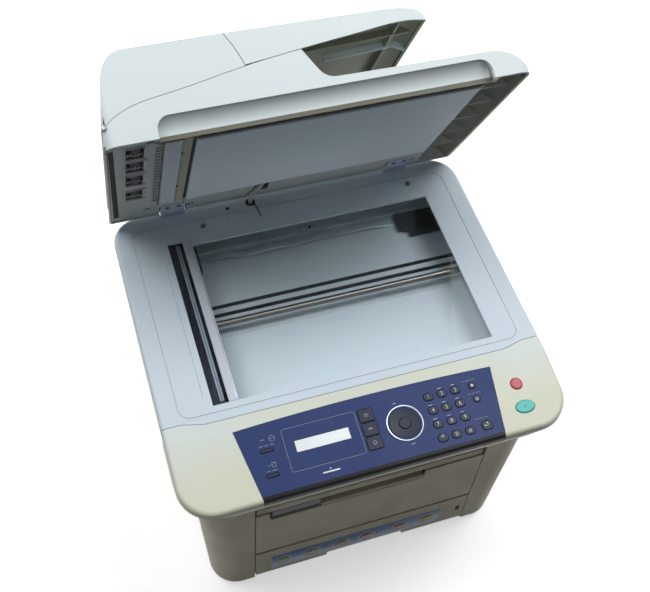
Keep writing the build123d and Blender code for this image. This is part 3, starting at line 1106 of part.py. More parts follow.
def adf_feed_frame():
    """Feeder underframe: rail plate with roller windows, ribbed strip and a sprung white plate."""
    x0 = -HALF + LID_WALL + 0.8
    x1 = MAT_X0 - 2.5
    v0 = LID_V_REAR + LID_WALL + FIT
    v1 = LID_V_FRONT - GRIP_DEPTH - LID_WALL - FIT
    plate = lid_box(x0, x1, v0, v1, LINER_H, LINER_H + LINER_T)
    left = lid_box(x0, GRIP_X0 - 7, v1 - 1, LID_V_FRONT - LID_WALL - 5, LINER_H, LINER_H + LINER_T)
    rim = lid_box(x0, x0 + 2, v0 + 4, v1, LINER_H, LID_DECK_H - LID_WALL - GAP - 12)
    windows = [lid_box(ROLLER_X - 11, ROLLER_X + 11, v, v + 42, -1, LINER_H + 4) for v in ROLLER_WINDOWS]
    comb = [lid_box(MAT_X0 - 40.5, MAT_X0 - 33.5, v, v + 3, -0.2, LINER_H + 1) for v in COMB_V]
    pad = lid_box(MAT_X0 - 32.5, MAT_X0 - 14.5, 58, 288, -0.6, LINER_H + 1)
    cheeks = []
    for v in CHEEK_V:
        cheek = lid_box(ROLLER_X - 5, ROLLER_X + 5, v, v + 2.5, LINER_H, LID_DECK_H - LID_WALL - 1)
        cheeks.append(cheek - lid_shaft(v - 1, v + 4, ROLLER_X, ROLLER_H, ROLLER_SHAFT_R + HINGE_RUN))
    inside = slab(lid_plan(LID_WALL + FIT), LID_UNDER_Z - 2, LID_UNDER_Z + LID_DECK_H)
    return (plate + left + rim - windows + comb + pad + cheeks - hinge_seats()) & inside


def adf_rollers():
    """Shaft with four feed rollers that show through the windows."""
    shaft = lid_shaft(CHEEK_V[0] - 2, CHEEK_V[1] + 5, ROLLER_X, ROLLER_H, ROLLER_SHAFT_R)
    rollers = [lid_shaft(v + 8, v + 34, ROLLER_X, ROLLER_H, ROLLER_R) for v in ROLLER_WINDOWS]
    return shaft + rollers


def hinge_leaves():
    """Two lid-side brackets: plate with two screw holes and a knuckle about the pin."""
    leaves = []
    axis_v = LID_V0_Y - LID_AXIS_Y
    axis_h = LID_AXIS_Z - LID_UNDER_Z
    for x in HINGE_X:
        x0, x1 = x - HINGE_W / 2, x + HINGE_W / 2
        plate = lid_box(x0, x1, axis_v, LEAF_END_V, LEAF_LOW_H, LEAF_TOP_H)
        knuckle = lid_rod(x - KNUCKLE_HALF, x + KNUCKLE_HALF, axis_v, axis_h, HINGE_KNUCKLE_R)
        arm = lid_box(x - KNUCKLE_HALF, x + KNUCKLE_HALF, axis_v, axis_v + 10, axis_h - HINGE_KNUCKLE_R, 7)
        ear_room = [lid_box(a, b, 0, axis_v + LEAF_EAR_ROOM, -1, LEAF_TOP_H + 1)
                    for a, b in ((x0 - 1, x - KNUCKLE_HALF), (x + KNUCKLE_HALF, x1 + 1))]
        bore = lid_rod(x - 20, x + 20, axis_v, axis_h, HINGE_PIN_R + HINGE_RUN)
        screws = [lid_prism(Pos(x + s, 1.5) * Rectangle(4, 8), 26, 30) for s in (-7, 7)]
        leaves.append(plate + arm + knuckle - ear_room - bore - screws)
    return Compound(leaves)


def hinge_posts():
    """Two scanner-side posts with a fork of two ears and the hinge pin between them."""
    posts = []
    rear_y = SCANNER_REAR_Y - 1 - WALL - GAP
    for x in HINGE_X:
        x0, x1 = x - HINGE_W / 2 + GAP, x + HINGE_W / 2 - GAP
        stem = block(x0, x1, POST_Y0, rear_y, TUB_Z + WALL, DECK_Z + 0.4)
        for ear_x0, ear_x1 in ((x0, x - KNUCKLE_HALF - GAP), (x + KNUCKLE_HALF + GAP, x1)):
            ear = rod_x(ear_x0, ear_x1, LID_AXIS_Y, LID_AXIS_Z, HINGE_KNUCKLE_R)
            web = block(ear_x0, ear_x1, LID_AXIS_Y - HINGE_KNUCKLE_R, rear_y, DECK_Z - 4, LID_AXIS_Z)
            stem = stem + ear + web
        pin = rod_x(x0, x1, LID_AXIS_Y, LID_AXIS_Z, HINGE_PIN_R)
        posts.append(stem + pin)
    return Compound(posts)


def lid_cable():
    """Harness from the deck up into the lid, drawn along its open route."""
    points = CABLE_POINTS
    radii = []
    for a, b, c in zip(points, points[1:], points[2:]):
        one = Vector(*b) - Vector(*a)
        two = Vector(*c) - Vector(*b)
        turn = math.radians(one.get_angle(two))
        radii.append(0.45 * min(one.length, two.length) / math.tan(turn / 2))
    path = FilletPolyline(*points, radius=radii)
    start = Plane(origin=points[0], z_dir=Vector(*points[1]) - Vector(*points[0]))
    return sweep(start * Circle(CABLE_R), path=path)


# Writing the parts

def build():
    parts = {
        "base_frame": base_frame(),
        "left_cover": side_cover(-1),
        "right_cover": side_cover(1),
        "rear_cover": rear_cover(),
        "rear_door": rear_door(),
        "rear_ports": rear_ports(),
        "power_switch": power_switch(),
        "front_door": front_door(),
        "paper_cassette": paper_cassette(),
        "lift_plate": lift_plate(),
        "toner_cartridge": toner_cartridge(),
        "output_tray": output_tray(),
        "rubber_feet": rubber_feet(),
        "scanner_tub": scanner_tub(),
        "scanner_top_cover": scanner_top_cover(),
        "glass_panes": glass_panes(),
        "carriage": carriage(),
        "carriage_rod": carriage_rod(),
        "scan_belt": scan_belt(),
        "scan_motor": scan_motor(),
        "ribbon_cable": ribbon_cable(),
        "hinge_posts": hinge_posts(),
        "panel_cover": panel_cover(),
        "panel_fascia": panel_fascia(),
        "display_window": display_window(),
        "nav_pad": nav_pad(),
        "stop_button": stop_button(),
        "start_button": start_button(),
    }
    for name, spot, face, lip in key_table():
        parts[name] = key_cap(spot, face, lip)
    lid = {
        "lid_shell": lid_shell(),
        "lid_liner": lid_liner(),
        "lid_mat": lid_mat(),
        "adf_feed_frame": adf_feed_frame(),
        "adf_rollers": adf_rollers(),
        "hinge_leaves": hinge_leaves(),
        "adf_cover": adf_cover(),
        "input_tray": input_tray(),
        "guide_front": document_guide(1),
        "guide_rear": document_guide(-1),
    }
    for name, part in lid.items():
        parts[name] = swing_open(part)
    parts["lid_cable"] = lid_cable()
    return parts


def write(parts):
    os.makedirs("parts", exist_ok=True)
    for name, part in parts.items():
        solids = part.solids()
        whole = solids[0] if len(solids) == 1 else Compound(list(solids))
        placed = Pos(0, -FRAME_Y, 0) * whole
        placed.label = name
        export_step(placed, os.path.join("parts", name + ".step"))


if __name__ == "__main__":
    write(build())
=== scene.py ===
import bpy
import math
from mathutils import Matrix, Vector


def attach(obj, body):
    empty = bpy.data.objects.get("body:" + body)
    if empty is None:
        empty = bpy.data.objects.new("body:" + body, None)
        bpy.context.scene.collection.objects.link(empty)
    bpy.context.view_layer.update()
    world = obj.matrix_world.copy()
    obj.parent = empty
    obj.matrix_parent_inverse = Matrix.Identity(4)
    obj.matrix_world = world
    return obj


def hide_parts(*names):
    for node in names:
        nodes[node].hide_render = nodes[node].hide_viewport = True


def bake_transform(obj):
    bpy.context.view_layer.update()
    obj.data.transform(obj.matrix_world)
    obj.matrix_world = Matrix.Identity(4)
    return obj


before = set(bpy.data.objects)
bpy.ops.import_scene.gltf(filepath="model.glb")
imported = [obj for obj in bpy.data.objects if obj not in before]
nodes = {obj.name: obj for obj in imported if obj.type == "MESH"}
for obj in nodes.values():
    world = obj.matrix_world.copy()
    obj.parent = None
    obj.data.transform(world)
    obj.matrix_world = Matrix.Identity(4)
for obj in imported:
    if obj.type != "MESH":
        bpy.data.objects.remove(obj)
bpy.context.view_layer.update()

# Units and places. Lengths below are millimetres in the drawing's own frame.
MM = 0.001
FRAME_Y = 29.33330389
DECK_Z = 300.0
LID_OPEN = math.radians(64.2)
LID_AXIS_Y = 187.0
LID_AXIS_Z = 306.5
LID_UNDER_Z = 301.5
LID_V0_Y = 192.0
PANEL_TILT = math.radians(7.296946)
PANEL_BACK_Y = -126.0
PANEL_BACK_Z = 299.6
BASE_FRONT_Y = -184.0
RIBBON_Y = 128.0
BASE_REAR_Y = 178.0
KEY_RISE = 1.1


def at(x, y, z):
    return Vector((x, y - FRAME_Y, z)) * MM


def pose(origin, x_axis, y_axis, z_axis):
    """Matrix that carries millimetres in a local frame to metres in the shared frame."""
    m = Matrix((x_axis, y_axis, z_axis)).transposed().to_4x4() * MM
    m.translation = origin
    m[3][3] = 1.0
    return m


def deck(x, y, z=DECK_Z):
    """Local frame that looks up."""
    return pose(at(x, y, z), Vector((1, 0, 0)), Vector((0, 1, 0)), Vector((0, 0, 1)))


def front(x, z, y=BASE_FRONT_Y):
    """Local frame that looks to the front."""
    return pose(at(x, y, z), Vector((1, 0, 0)), Vector((0, 0, 1)), Vector((0, -1, 0)))


def rear(x, z, y=BASE_REAR_Y):
    """Local frame that looks to the back."""
    return pose(at(x, y, z), Vector((-1, 0, 0)), Vector((0, 0, 1)), Vector((0, 1, 0)))


def panel(x, y, lift=0.0):
    """Local frame on the tilted control panel, over plan position x, y."""
    s, c = math.sin(PANEL_TILT), math.cos(PANEL_TILT)
    run = y - PANEL_BACK_Y
    origin = at(x, y - lift * s, PANEL_BACK_Z + run * s / c + lift * c)
    return pose(origin, Vector((1, 0, 0)), Vector((0, c, s)), Vector((0, -s, c)))


def lid_point(x, v, h):
    """Point of the open lid: v from the hinge edge, h over the underside."""
    y = LID_V0_Y - v - LID_AXIS_Y
    z = LID_UNDER_Z + h - LID_AXIS_Z
    s, c = math.sin(LID_OPEN), math.cos(LID_OPEN)
    return at(x, LID_AXIS_Y + y * c + z * s, LID_AXIS_Z - y * s + z * c)


def under_lid(x, v, h=0.0):
    """Local frame under the lid: local y runs to the lid's front edge, local z out of the underside."""
    s, c = math.sin(LID_OPEN), math.cos(LID_OPEN)
    return pose(lid_point(x, v, h), Vector((1, 0, 0)), Vector((0, -c, s)), Vector((0, -s, -c)))


LID_ALONG = (0.0, -math.cos(LID_OPEN), math.sin(LID_OPEN))
LID_UP = (0.0, math.sin(LID_OPEN), math.cos(LID_OPEN))


def screen(r, g, b):
    """Linear colour from its value on a screen, 0 to 255."""
    def one(c):
        c = c / 255.0
        return c / 12.92 if c <= 0.04045 else ((c + 0.055) / 1.055) ** 2.4
    return (one(r), one(g), one(b), 1.0)


# Materials

def plug(node, inputs):
    """Link each input to a socket, or set its value."""
    for key, value in inputs.items():
        if isinstance(value, bpy.types.NodeSocket):
            node.id_data.links.new(value, node.inputs[key])
        else:
            node.inputs[key].default_value = value


def new_node(tree, kind, inputs=None, **props):
    """Add a shader node. Its kind is the type name without ShaderNode."""
    node = tree.nodes.new("ShaderNode" + kind)
    for key, value in props.items():
        setattr(node, key, value)
    plug(node, inputs or {})
    return node


class Shader:
    """Short way to wire a node material."""

    def __init__(self, name):
        self.mat = bpy.data.materials.new(name)
        self.mat.use_nodes = True
        self.tree = self.mat.node_tree
        self.tree.nodes.clear()
        self.out = self.add("OutputMaterial")
        place = self.add("TexCoord")
        self.coords = place.outputs["Object"]
        self.facing = place.outputs["Normal"]

    def add(self, kind, inputs=None, **props):
        return new_node(self.tree, kind, inputs, **props)

    def noise(self, scale, detail=2.0, rough=0.5, vector=None):
        node = self.add("TexNoise", {"Scale": scale, "Detail": detail, "Roughness": rough,
                                               "Vector": vector or self.coords})
        return node.outputs["Fac"]

    def span(self, value, low, high, to_low, to_high, smooth=False):
        kind = "SMOOTHSTEP" if smooth else "LINEAR"
        node = self.add("MapRange", {"Value": value, "From Min": low, "From Max": high,
                                               "To Min": to_low, "To Max": to_high}, interpolation_type=kind)
        return node.outputs["Result"]

    def math(self, kind, a, b=0.0):
        return self.add("Math", {0: a, 1: b}, operation=kind).outputs[0]

    def times(self, a, b):
        return self.math("MULTIPLY", a, b)

    def mix(self, share, one, two):
        node = self.add("Mix", {0: share, 6: one, 7: two}, data_type="RGBA")
        return node.outputs[2]

    def dot(self, vector, direction):
        node = self.add("VectorMath", {0: vector, 1: direction}, operation="DOT_PRODUCT")
        return node.outputs["Value"]

    def axes(self):
        node = self.add("SeparateXYZ", {0: self.coords})
        return node.outputs[0], node.outputs[1], node.outputs[2]

    def finish(self, shader):
        self.tree.links.new(shader, self.out.inputs["Surface"])
        return self.mat

    def surface(self, tone, rough, bump, more=None):
        """Finish with one principled surface."""
        inputs = {"Base Color": tone, "Roughness": rough, "Normal": bump.outputs[0], **(more or {})}
        return self.finish(self.add("BsdfPrincipled", inputs).outputs[0])


def darker(colour, share):
    return (colour[0] * share, colour[1] * share, colour[2] * share, 1.0)


def moulded(name, colour, rough=0.42, grain=0.10, grain_scale=1600.0, mottle=0.05, seam_dirt_and_shade=0.35, edge=0.0006,
            paint=None, specular=0.35, rim=None):
    """Moulded plastic: fine grain, faint ageing blotches, painted shade mixed with soiling in the seams, an
    optional dark rim tone that is painted edge shade, and softly rounded edges.
    """
    s = Shader(name)
    base = paint(s, colour) if paint else colour
    blotch = s.span(s.noise(9.0, 4.0, 0.6), 0.35, 0.7, 0.0, mottle)
    aged = (colour[0] * 0.86, colour[1] * 0.80, colour[2] * 0.62, 1.0)
    tone = s.mix(blotch, base, aged)
    fleck = s.span(s.noise(420.0, 3.0, 0.7), 0.70, 0.78, 0.0, 0.22)
    tone = s.mix(fleck, tone, darker(colour, 0.72))
    # Painted shade: where the face turns at an edge, the tone goes towards the rim colour as a dark line.
    if rim:
        face = s.add("NewGeometry").outputs["Normal"]
        rounded = s.add("Bevel", {"Radius": 0.0011}, samples=4).outputs[0]
        turn = s.add("VectorMath", {0: face, 1: rounded}, operation="DOT_PRODUCT").outputs["Value"]
        tone = s.mix(s.span(turn, 0.78, 0.98, 0.8, 0.0, True), tone, rim)
    # Painted shade: seams and hollows found by ambient occlusion get a darker tone, broken up by noise and
    # mixed with soiling.
    hollow = s.add("AmbientOcclusion", {"Distance": 0.007}, samples=4)
    dirt_and_shade_share = s.span(hollow.outputs["AO"], 0.25, 0.85, seam_dirt_and_shade, 0.0, True)
    dirt_and_shade_share = s.times(dirt_and_shade_share, s.span(s.noise(60.0, 3.0), 0.3, 0.7, 0.5, 1.0))
    dirt_and_shade_tone = (colour[0] * 0.42, colour[1] * 0.40, colour[2] * 0.34, 1.0)
    tone = s.mix(dirt_and_shade_share, tone, dirt_and_shade_tone)
    soft = s.add("Bevel", {"Radius": edge}, samples=3)
    bump = s.add("Bump", {"Strength": grain, "Distance": 0.0002, "Height": s.noise(grain_scale, 2.0),
                          "Normal": soft.outputs[0]})
    polish = s.span(s.noise(35.0, 3.0), 0.3, 0.7, rough - 0.05, rough + 0.07)
    return s.surface(tone, polish, bump, {"Specular IOR Level": specular})


def glossy(name, colour, rough=0.16, wave=0.02, dust=0.05, specular=0.5, edge=0.0004, paint=None):
    """Polished plastic with faint haze, fine scratches and dust."""
    s = Shader(name)
    haze = s.span(s.noise(14.0, 4.0), 0.35, 0.7, rough, rough + 0.10)
    stretched = s.add("Mapping", {"Vector": s.coords, "Scale": (1.0, 14.0, 1.0)})
    scratch = s.noise(900.0, 2.0, 0.6, stretched.outputs[0])
    speck = s.span(s.noise(700.0, 2.0, 0.7), 0.72, 0.80, 0.0, dust * 4)
    tone = s.mix(speck, colour, screen(150, 155, 165))
    tone = s.mix(s.span(s.noise(6.0, 3.0), 0.3, 0.7, 0.0, 0.25), tone, darker(colour, 0.8))
    tone = paint(s, tone) if paint else tone
    soft = s.add("Bevel", {"Radius": edge}, samples=3)
    bump = s.add("Bump", {"Strength": wave, "Distance": 0.0002, "Height": scratch,
                                    "Normal": soft.outputs[0]})
    return s.surface(tone, haze, bump, {"Specular IOR Level": specular})


def metal(name, colour, rough=0.3, brushed=(1.0, 1.0, 1.0), strength=0.08):
    """Steel or plated sheet with brushing along one axis and small stains."""
    s = Shader(name)
    stretched = s.add("Mapping", {"Vector": s.coords, "Scale": brushed})
    streak = s.noise(500.0, 3.0, 0.6, stretched.outputs[0])
    tone = s.mix(s.span(s.noise(40.0, 3.0), 0.4, 0.7, 0.0, 0.4), colour, darker(colour, 0.7))
    polish = s.span(streak, 0.3, 0.7, rough - 0.08, rough + 0.12)
    bump = s.add("Bump", {"Strength": strength, "Distance": 0.0001, "Height": streak})
    return s.surface(tone, polish, bump, {"Metallic": 1.0})


def clear_glass(name):
    """Thin clear pane: it lets light through with a faint green tint and mirrors at a low angle."""
    s = Shader(name)
    smear = s.span(s.noise(18.0, 4.0), 0.35, 0.75, 0.01, 0.06)
    facing = s.add("Fresnel", {"IOR": 1.33})
    clear = s.add("BsdfTransparent", {"Color": (0.955, 0.975, 0.985, 1.0)})
    mirror = s.add("BsdfGlossy", {"Roughness": smear, "Color": (1.0, 1.0, 1.0, 1.0)})
    both = s.add("MixShader", {0: facing.outputs[0], 1: clear.outputs[0], 2: mirror.outputs[0]})
    return s.finish(both.outputs[0])


def flat_flex(name, colour):
    """Flat cable film with its conductors showing as fine lines along it, and a painted highlight along both
    long edges.
    """
    s = Shader(name)
    x, y, z = s.axes()
    line = s.math("SINE", s.times(y, 2 * math.pi / 0.00125))
    tone = s.mix(s.span(line, 0.0, 0.9, 0.0, 0.35, True), darker(colour, 0.72), darker(colour, 0.5))
    # Painted highlight: lighter along the long edges, darker in the middle.
    off_centre = s.math("ABSOLUTE", s.math("SUBTRACT", y, RIBBON_Y * MM - FRAME_Y * MM))
    tone = s.mix(s.span(off_centre, 0.0040, 0.0048, 0.0, 1.0, True), tone, colour)
    tone = s.mix(s.span(s.noise(25.0, 3.0), 0.4, 0.7, 0.0, 0.3), tone, darker(colour, 0.8))
    bump = s.add("Bump", {"Strength": 0.2, "Distance": 0.0001, "Height": line})
    return s.surface(tone, s.span(s.noise(60.0), 0.3, 0.7, 0.2, 0.32), bump)


def between(s, value, low, high):
    return s.span(value, low * MM, high * MM, 0.0, 1.0, True)


def cream_with_pale_ends(s, colour):
    """Cream that has bleached to a cool white beside the seam, most of all at its ends."""
    x, y, z = s.axes()
    side = s.math("ABSOLUTE", x)
    wander = s.span(s.noise(12.0, 2.0), 0.3, 0.7, -0.008, 0.008)
    near_end = s.span(s.math("ADD", side, wander), 0.08, 0.20, 0.25, 0.7, True)
    near_seam = between(s, s.math("ADD", y, wander), -185 - FRAME_Y, -105 - FRAME_Y)
    return s.mix(s.times(near_end, near_seam), colour, screen(214, 225, 230))


def tub_inside_and_out(s, colour):
    """Cool white inside, cream on the outer walls."""
    x, y, z = s.axes()
    outside = s.math("GREATER_THAN", s.math("ABSOLUTE", x), 219.4 * MM)
    behind = s.math("GREATER_THAN", y, (187.0 - FRAME_Y) * MM)
    outer = s.math("MAXIMUM", outside, behind)
    return s.mix(outer, colour, CREAM)


def front_lip_painted_shade(s, tone):
    """The fascia's down-facing front edge is painted near-black as painted shade."""
    x, y, z = s.axes()
    # Painted shade: near-black in front of y = -204 mm.
    return s.mix(s.span(y, (-204.2 - FRAME_Y) * MM, (-203.8 - FRAME_Y) * MM, 1.0, 0.0), tone,
                 screen(12, 12, 17))


def lid_place(s):
    """How far along the lid, and how high over its underside, a point is."""
    hinge = lid_point(0.0, 0.0, 0.0)
    offset = s.add("VectorMath", {0: s.coords, 1: tuple(hinge)}, operation="SUBTRACT").outputs[0]
    return s.dot(offset, LID_ALONG), s.dot(offset, LID_UP)


def olive_margins(s, colour):
    """At the grip hollow's right end, painted shade on faces that look down or inward and a painted highlight
    on the rib sides; along the hollow's foot, a band of painted shade.
    """
    x, y, z = s.axes()
    v, h = lid_place(s)
    hollow = s.times(s.math("GREATER_THAN", x, 175.5 * MM),
                     s.span(v, 297 * MM, 298 * MM, 1.0, 0.0))
    hidden = s.math("MAXIMUM", s.span(s.dot(s.facing, LID_UP), -0.5, -0.3, 1.0, 0.0),
                    s.span(s.dot(s.facing, (1.0, 0.0, 0.0)), -0.7, -0.5, 1.0, 0.0))
    across = s.span(s.math("ABSOLUTE", s.dot(s.facing, LID_ALONG)), 0.6, 0.8, 0.0, 1.0)
    # Painted shade on faces looking down or inward, painted highlight on rib sides.
    colour = s.mix(s.times(hollow, hidden), colour, screen(138, 137, 122))
    colour = s.mix(s.times(hollow, across), colour, screen(244, 248, 250))
    # Painted shade: a dark band along the hollow's foot, close over the underside.
    low = s.times(s.span(h, 4.0 * MM, 5.2 * MM, 1.0, 0.0, True),
                  s.span(v, 283 * MM, 284 * MM, 0.0, 1.0))
    low = s.times(low, s.span(v, 296 * MM, 297.5 * MM, 1.0, 0.0))
    return s.mix(low, colour, screen(98, 97, 84))


def rim_shade_with_lit_ribs(s, colour):
    """Outside the mat the underside's flats carry painted shade, and its rib sides a painted highlight."""
    x, y, z = s.axes()
    beside = s.math("GREATER_THAN", x, 175.5 * MM)
    across = s.span(s.math("ABSOLUTE", s.dot(s.facing, LID_ALONG)), 0.45, 0.7, 0.0, 1.0)
    # Painted shade on the flats, painted highlight on the rib sides.
    return s.mix(beside, colour, s.mix(across, screen(148, 147, 132), screen(232, 238, 242)))


def painted_shade_below(s, colour):
    """Painted shade on the tray's down-facing faces, and on faces below 87 mm inside it that do not look up.
    """
    v, h = lid_place(s)
    below = s.span(s.dot(s.facing, LID_UP), -0.5, -0.15, 1.0, 0.0)
    inside = s.times(s.span(v, 5.2 * MM, 5.6 * MM, 0.0, 1.0),
                     s.span(v, 299.8 * MM, 300.2 * MM, 1.0, 0.0))
    lower = s.times(s.span(h, 86.5 * MM, 87.5 * MM, 1.0, 0.0),
                    s.span(s.dot(s.facing, LID_UP), 0.2, 0.4, 1.0, 0.0))
    # Painted shade: a darker olive tone on these faces.
    return s.mix(s.math("MAXIMUM", below, s.times(inside, lower)), colour, screen(152, 152, 136))


def yellowed_edge(s, colour):
    """Cool white that yellows along the outer rim."""
    x, y, z = s.axes()
    rim = s.span(z, (DECK_Z - 4.5) * MM, (DECK_Z - 1.0) * MM, 0.75, 0.0, True)
    return s.mix(rim, colour, CREAM)


CLEAN = {"mottle": 0.0, "seam_dirt_and_shade": 0.0}
CREAM = screen(214, 217, 197)
CASING = screen(214, 208, 184)
DECK_WHITE = screen(205, 219, 230)
LID_WHITE = screen(219, 229, 231)
UNDER_WHITE = screen(196, 199, 198)
INNER_WHITE = screen(224, 233, 238)
NAVY = screen(42, 60, 110)
KEY_NAVY = screen(28, 34, 56)
INK = screen(214, 222, 232)

cream = moulded("cream_plastic", CREAM, paint=cream_with_pale_ends)
casing = moulded("casing_plastic", CASING, rough=0.5, mottle=0.10)
deck_white = moulded("deck_plastic", DECK_WHITE, rough=0.38, paint=yellowed_edge)
tub_white = moulded("tub_plastic", INNER_WHITE, rough=0.5, paint=tub_inside_and_out, mottle=0.03)
# The rim colour on these lid plastics is painted edge shade.
lid_white = moulded("lid_plastic", LID_WHITE, rough=0.42, mottle=0.04, rim=screen(150, 150, 124))
shell_white = moulded("lid_shell_plastic", LID_WHITE, rough=0.42, mottle=0.04, paint=olive_margins,
                      rim=screen(150, 150, 124))
tray_white = moulded("tray_plastic", LID_WHITE, rough=0.42, mottle=0.04, paint=painted_shade_below)
under_white = moulded("lid_underside_plastic", UNDER_WHITE, rough=0.5, mottle=0.12, seam_dirt_and_shade=0.5,
                      paint=rim_shade_with_lit_ribs)
hinge_plastic = moulded("hinge_plastic", screen(206, 219, 240), rough=0.35, mottle=0.03)
# Near-black for the painted shadow along the underside's left edge.
painted_edge_shadow = moulded("painted_edge_shadow", screen(40, 39, 30), rough=0.7, **CLEAN, specular=0.1)
rail_plastic = moulded("rail_plastic", screen(226, 236, 240), rough=0.45, mottle=0.04)
screw_zinc = moulded("screw_zinc", screen(128, 136, 142), rough=0.32, grain=0.02, mottle=0.0, specular=0.6)
mat_white = moulded("mat_sheet", screen(224, 233, 241), rough=0.55, grain=0.05, grain_scale=700.0,
                    mottle=0.02)
navy = glossy("fascia_navy", NAVY, rough=0.30, dust=0.02, specular=0.14, paint=front_lip_painted_shade)
key_navy = glossy("key_navy", KEY_NAVY, rough=0.34, dust=0.02, specular=0.25)
red = glossy("stop_red", screen(186, 66, 84), rough=0.32, dust=0.0)
teal = glossy("start_teal", screen(60, 186, 178), rough=0.30, dust=0.0)
lcd = glossy("display_pane", screen(236, 242, 246), rough=0.10, dust=0.0)
black = moulded("black_plastic", screen(30, 31, 36), rough=0.45, **CLEAN, grain=0.15)
carriage_black = moulded("scan_head_black", screen(26, 28, 40), rough=0.35, **CLEAN)
rubber = moulded("rubber", screen(38, 38, 40), rough=0.75, grain=0.3, grain_scale=900.0, **CLEAN)
steel = metal("steel_sheet", screen(176, 178, 182), rough=0.35, brushed=(1.0, 12.0, 12.0))
rod_steel = metal("polished_rod", screen(132, 126, 120), rough=0.3, brushed=(1.0, 30.0, 30.0))
screw_steel = metal("screw_steel", screen(140, 142, 148), rough=0.35)
silver = metal("silver_trim", screen(178, 186, 200), rough=0.3)
strip_silver = moulded("divider_strip", screen(200, 205, 216), rough=0.25, mottle=0.03, seam_dirt_and_shade=0.2)
strip_blue = moulded("reflector_strip", screen(166, 178, 194), rough=0.25, mottle=0.03, seam_dirt_and_shade=0.1)
ribbon_pale = flat_flex("ribbon_film", screen(214, 226, 228))
cream_strip = moulded("cream_strip", screen(184, 180, 160), rough=0.45, mottle=0.2)
# Near-black for the painted shadow in the gap before the mat's front.
mat_gap_shadow = moulded("mat_gap_shadow_dark", screen(22, 23, 27), rough=0.85, grain=0.4, grain_scale=1500.0, **CLEAN)
gap_black = moulded("open_gap", screen(16, 17, 20), rough=0.9, **CLEAN)
plate_white = glossy("pressure_plate", screen(224, 232, 240), rough=0.3, dust=0.02)
# Grey for the painted shade in the door's recess.
recess_shade_grey = moulded("recess_shade_panel", screen(140, 136, 150), rough=0.5, mottle=0.05)
brass = metal("contact_brass", screen(206, 176, 108), rough=0.3)
harness_grey = moulded("harness_sleeve", screen(186, 188, 186), rough=0.6, grain=0.3, grain_scale=1200.0)
ink = moulded("printed_ink", INK, rough=0.5, grain=0.02, **CLEAN)
grey_ink = moulded("printed_grey", screen(150, 160, 172), rough=0.5, grain=0.02, **CLEAN)
pane = clear_glass("document_glass")

FINISHES = (
    (casing, "left_cover right_cover rear_cover rear_door front_door paper_cassette output_tray"),
    (steel, "base_frame lift_plate"),
    (black, "rear_ports power_switch toner_cartridge scan_motor"),
    (rubber, "rubber_feet scan_belt adf_rollers"),
    (tub_white, "scanner_tub"), (deck_white, "scanner_top_cover"), (pane, "glass_panes"),
    (carriage_black, "carriage"), (rod_steel, "carriage_rod"), (ribbon_pale, "ribbon_cable"),
    (hinge_plastic, "hinge_posts hinge_leaves"), (cream, "panel_cover"), (navy, "panel_fascia"),
    (lcd, "display_window"), (red, "stop_button"), (teal, "start_button"),
    (shell_white, "lid_shell"), (under_white, "lid_liner adf_feed_frame"), (mat_white, "lid_mat"),
    (lid_white, "adf_cover guide_front guide_rear"), (tray_white, "input_tray"),
    (harness_grey, "lid_cable"),
)
finish_of = {name: finish for finish, names in FINISHES for name in names.split()}
for name, node in nodes.items():
    node.data.materials.clear()
    node.data.materials.append(finish_of.get(name, key_navy))


# Mesh builders. They take millimetres in a local frame; solid() turns their vertices and faces into an object
# in metres.

def linked(name, data):
    obj = bpy.data.objects.new(name, data)
    bpy.context.scene.collection.objects.link(obj)
    return obj


def solid(name, verts, faces, frame_matrix, material, body, slot, sharp=32.0):
    mesh = bpy.data.meshes.new(name)
    mesh.from_pydata([frame_matrix @ Vector(v) for v in verts], [], faces)
    mesh.validate()
    mesh.materials.append(material)
    mesh.shade_smooth()
    mesh.set_sharp_from_angle(angle=math.radians(sharp))
    obj = linked(name, mesh)
    if body:
        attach(obj, body)
    return obj


def numbered(items):
    """Each item with its number from 1, as text for a piece's name."""
    return [(str(number), item) for number, item in enumerate(items, 1)]


def joined(parts):
    """One vertex and face list from several."""
    verts, faces = [], []
    for v, f in parts:
        start = len(verts)
        verts += v
        faces += [tuple(i + start for i in face) for face in f]
    return verts, faces


def shifted(part, dx, dy, dz=0.0):
    v, f = part
    return [(x + dx, y + dy, z + dz) for x, y, z in v], f


def rounded_outline(width, depth, radius, steps=5):
    points = []
    radius = min(radius, width / 2 - 1e-3, depth / 2 - 1e-3)
    for cx, cy, start in ((1, 1, 0), (-1, 1, 90), (-1, -1, 180), (1, -1, 270)):
        for i in range(steps + 1):
            a = math.radians(start + 90.0 * i / steps)
            points.append((cx * (width / 2 - radius) + radius * math.cos(a),
                           cy * (depth / 2 - radius) + radius * math.sin(a)))
    return points


def ellipse_outline(rx, ry, steps=36):
    return [(rx * math.cos(2 * math.pi * i / steps),
             ry * math.sin(2 * math.pi * i / steps)) for i in range(steps)]


def inset(points, amount):
    """Outline drawn in by amount along its own normals."""
    result = []
    count = len(points)
    for i in range(count):
        (ax, ay), (bx, by) = points[i - 1], points[(i + 1) % count]
        dx, dy = bx - ax, by - ay
        size = math.hypot(dx, dy) or 1.0
        result.append((points[i][0] - amount * dy / size, points[i][1] + amount * dx / size))
    return result


def quads(a, b, n):
    """Faces between two rings of n points that start at a and b."""
    return [(a + i, a + (i + 1) % n, b + (i + 1) % n, b + i) for i in range(n)]


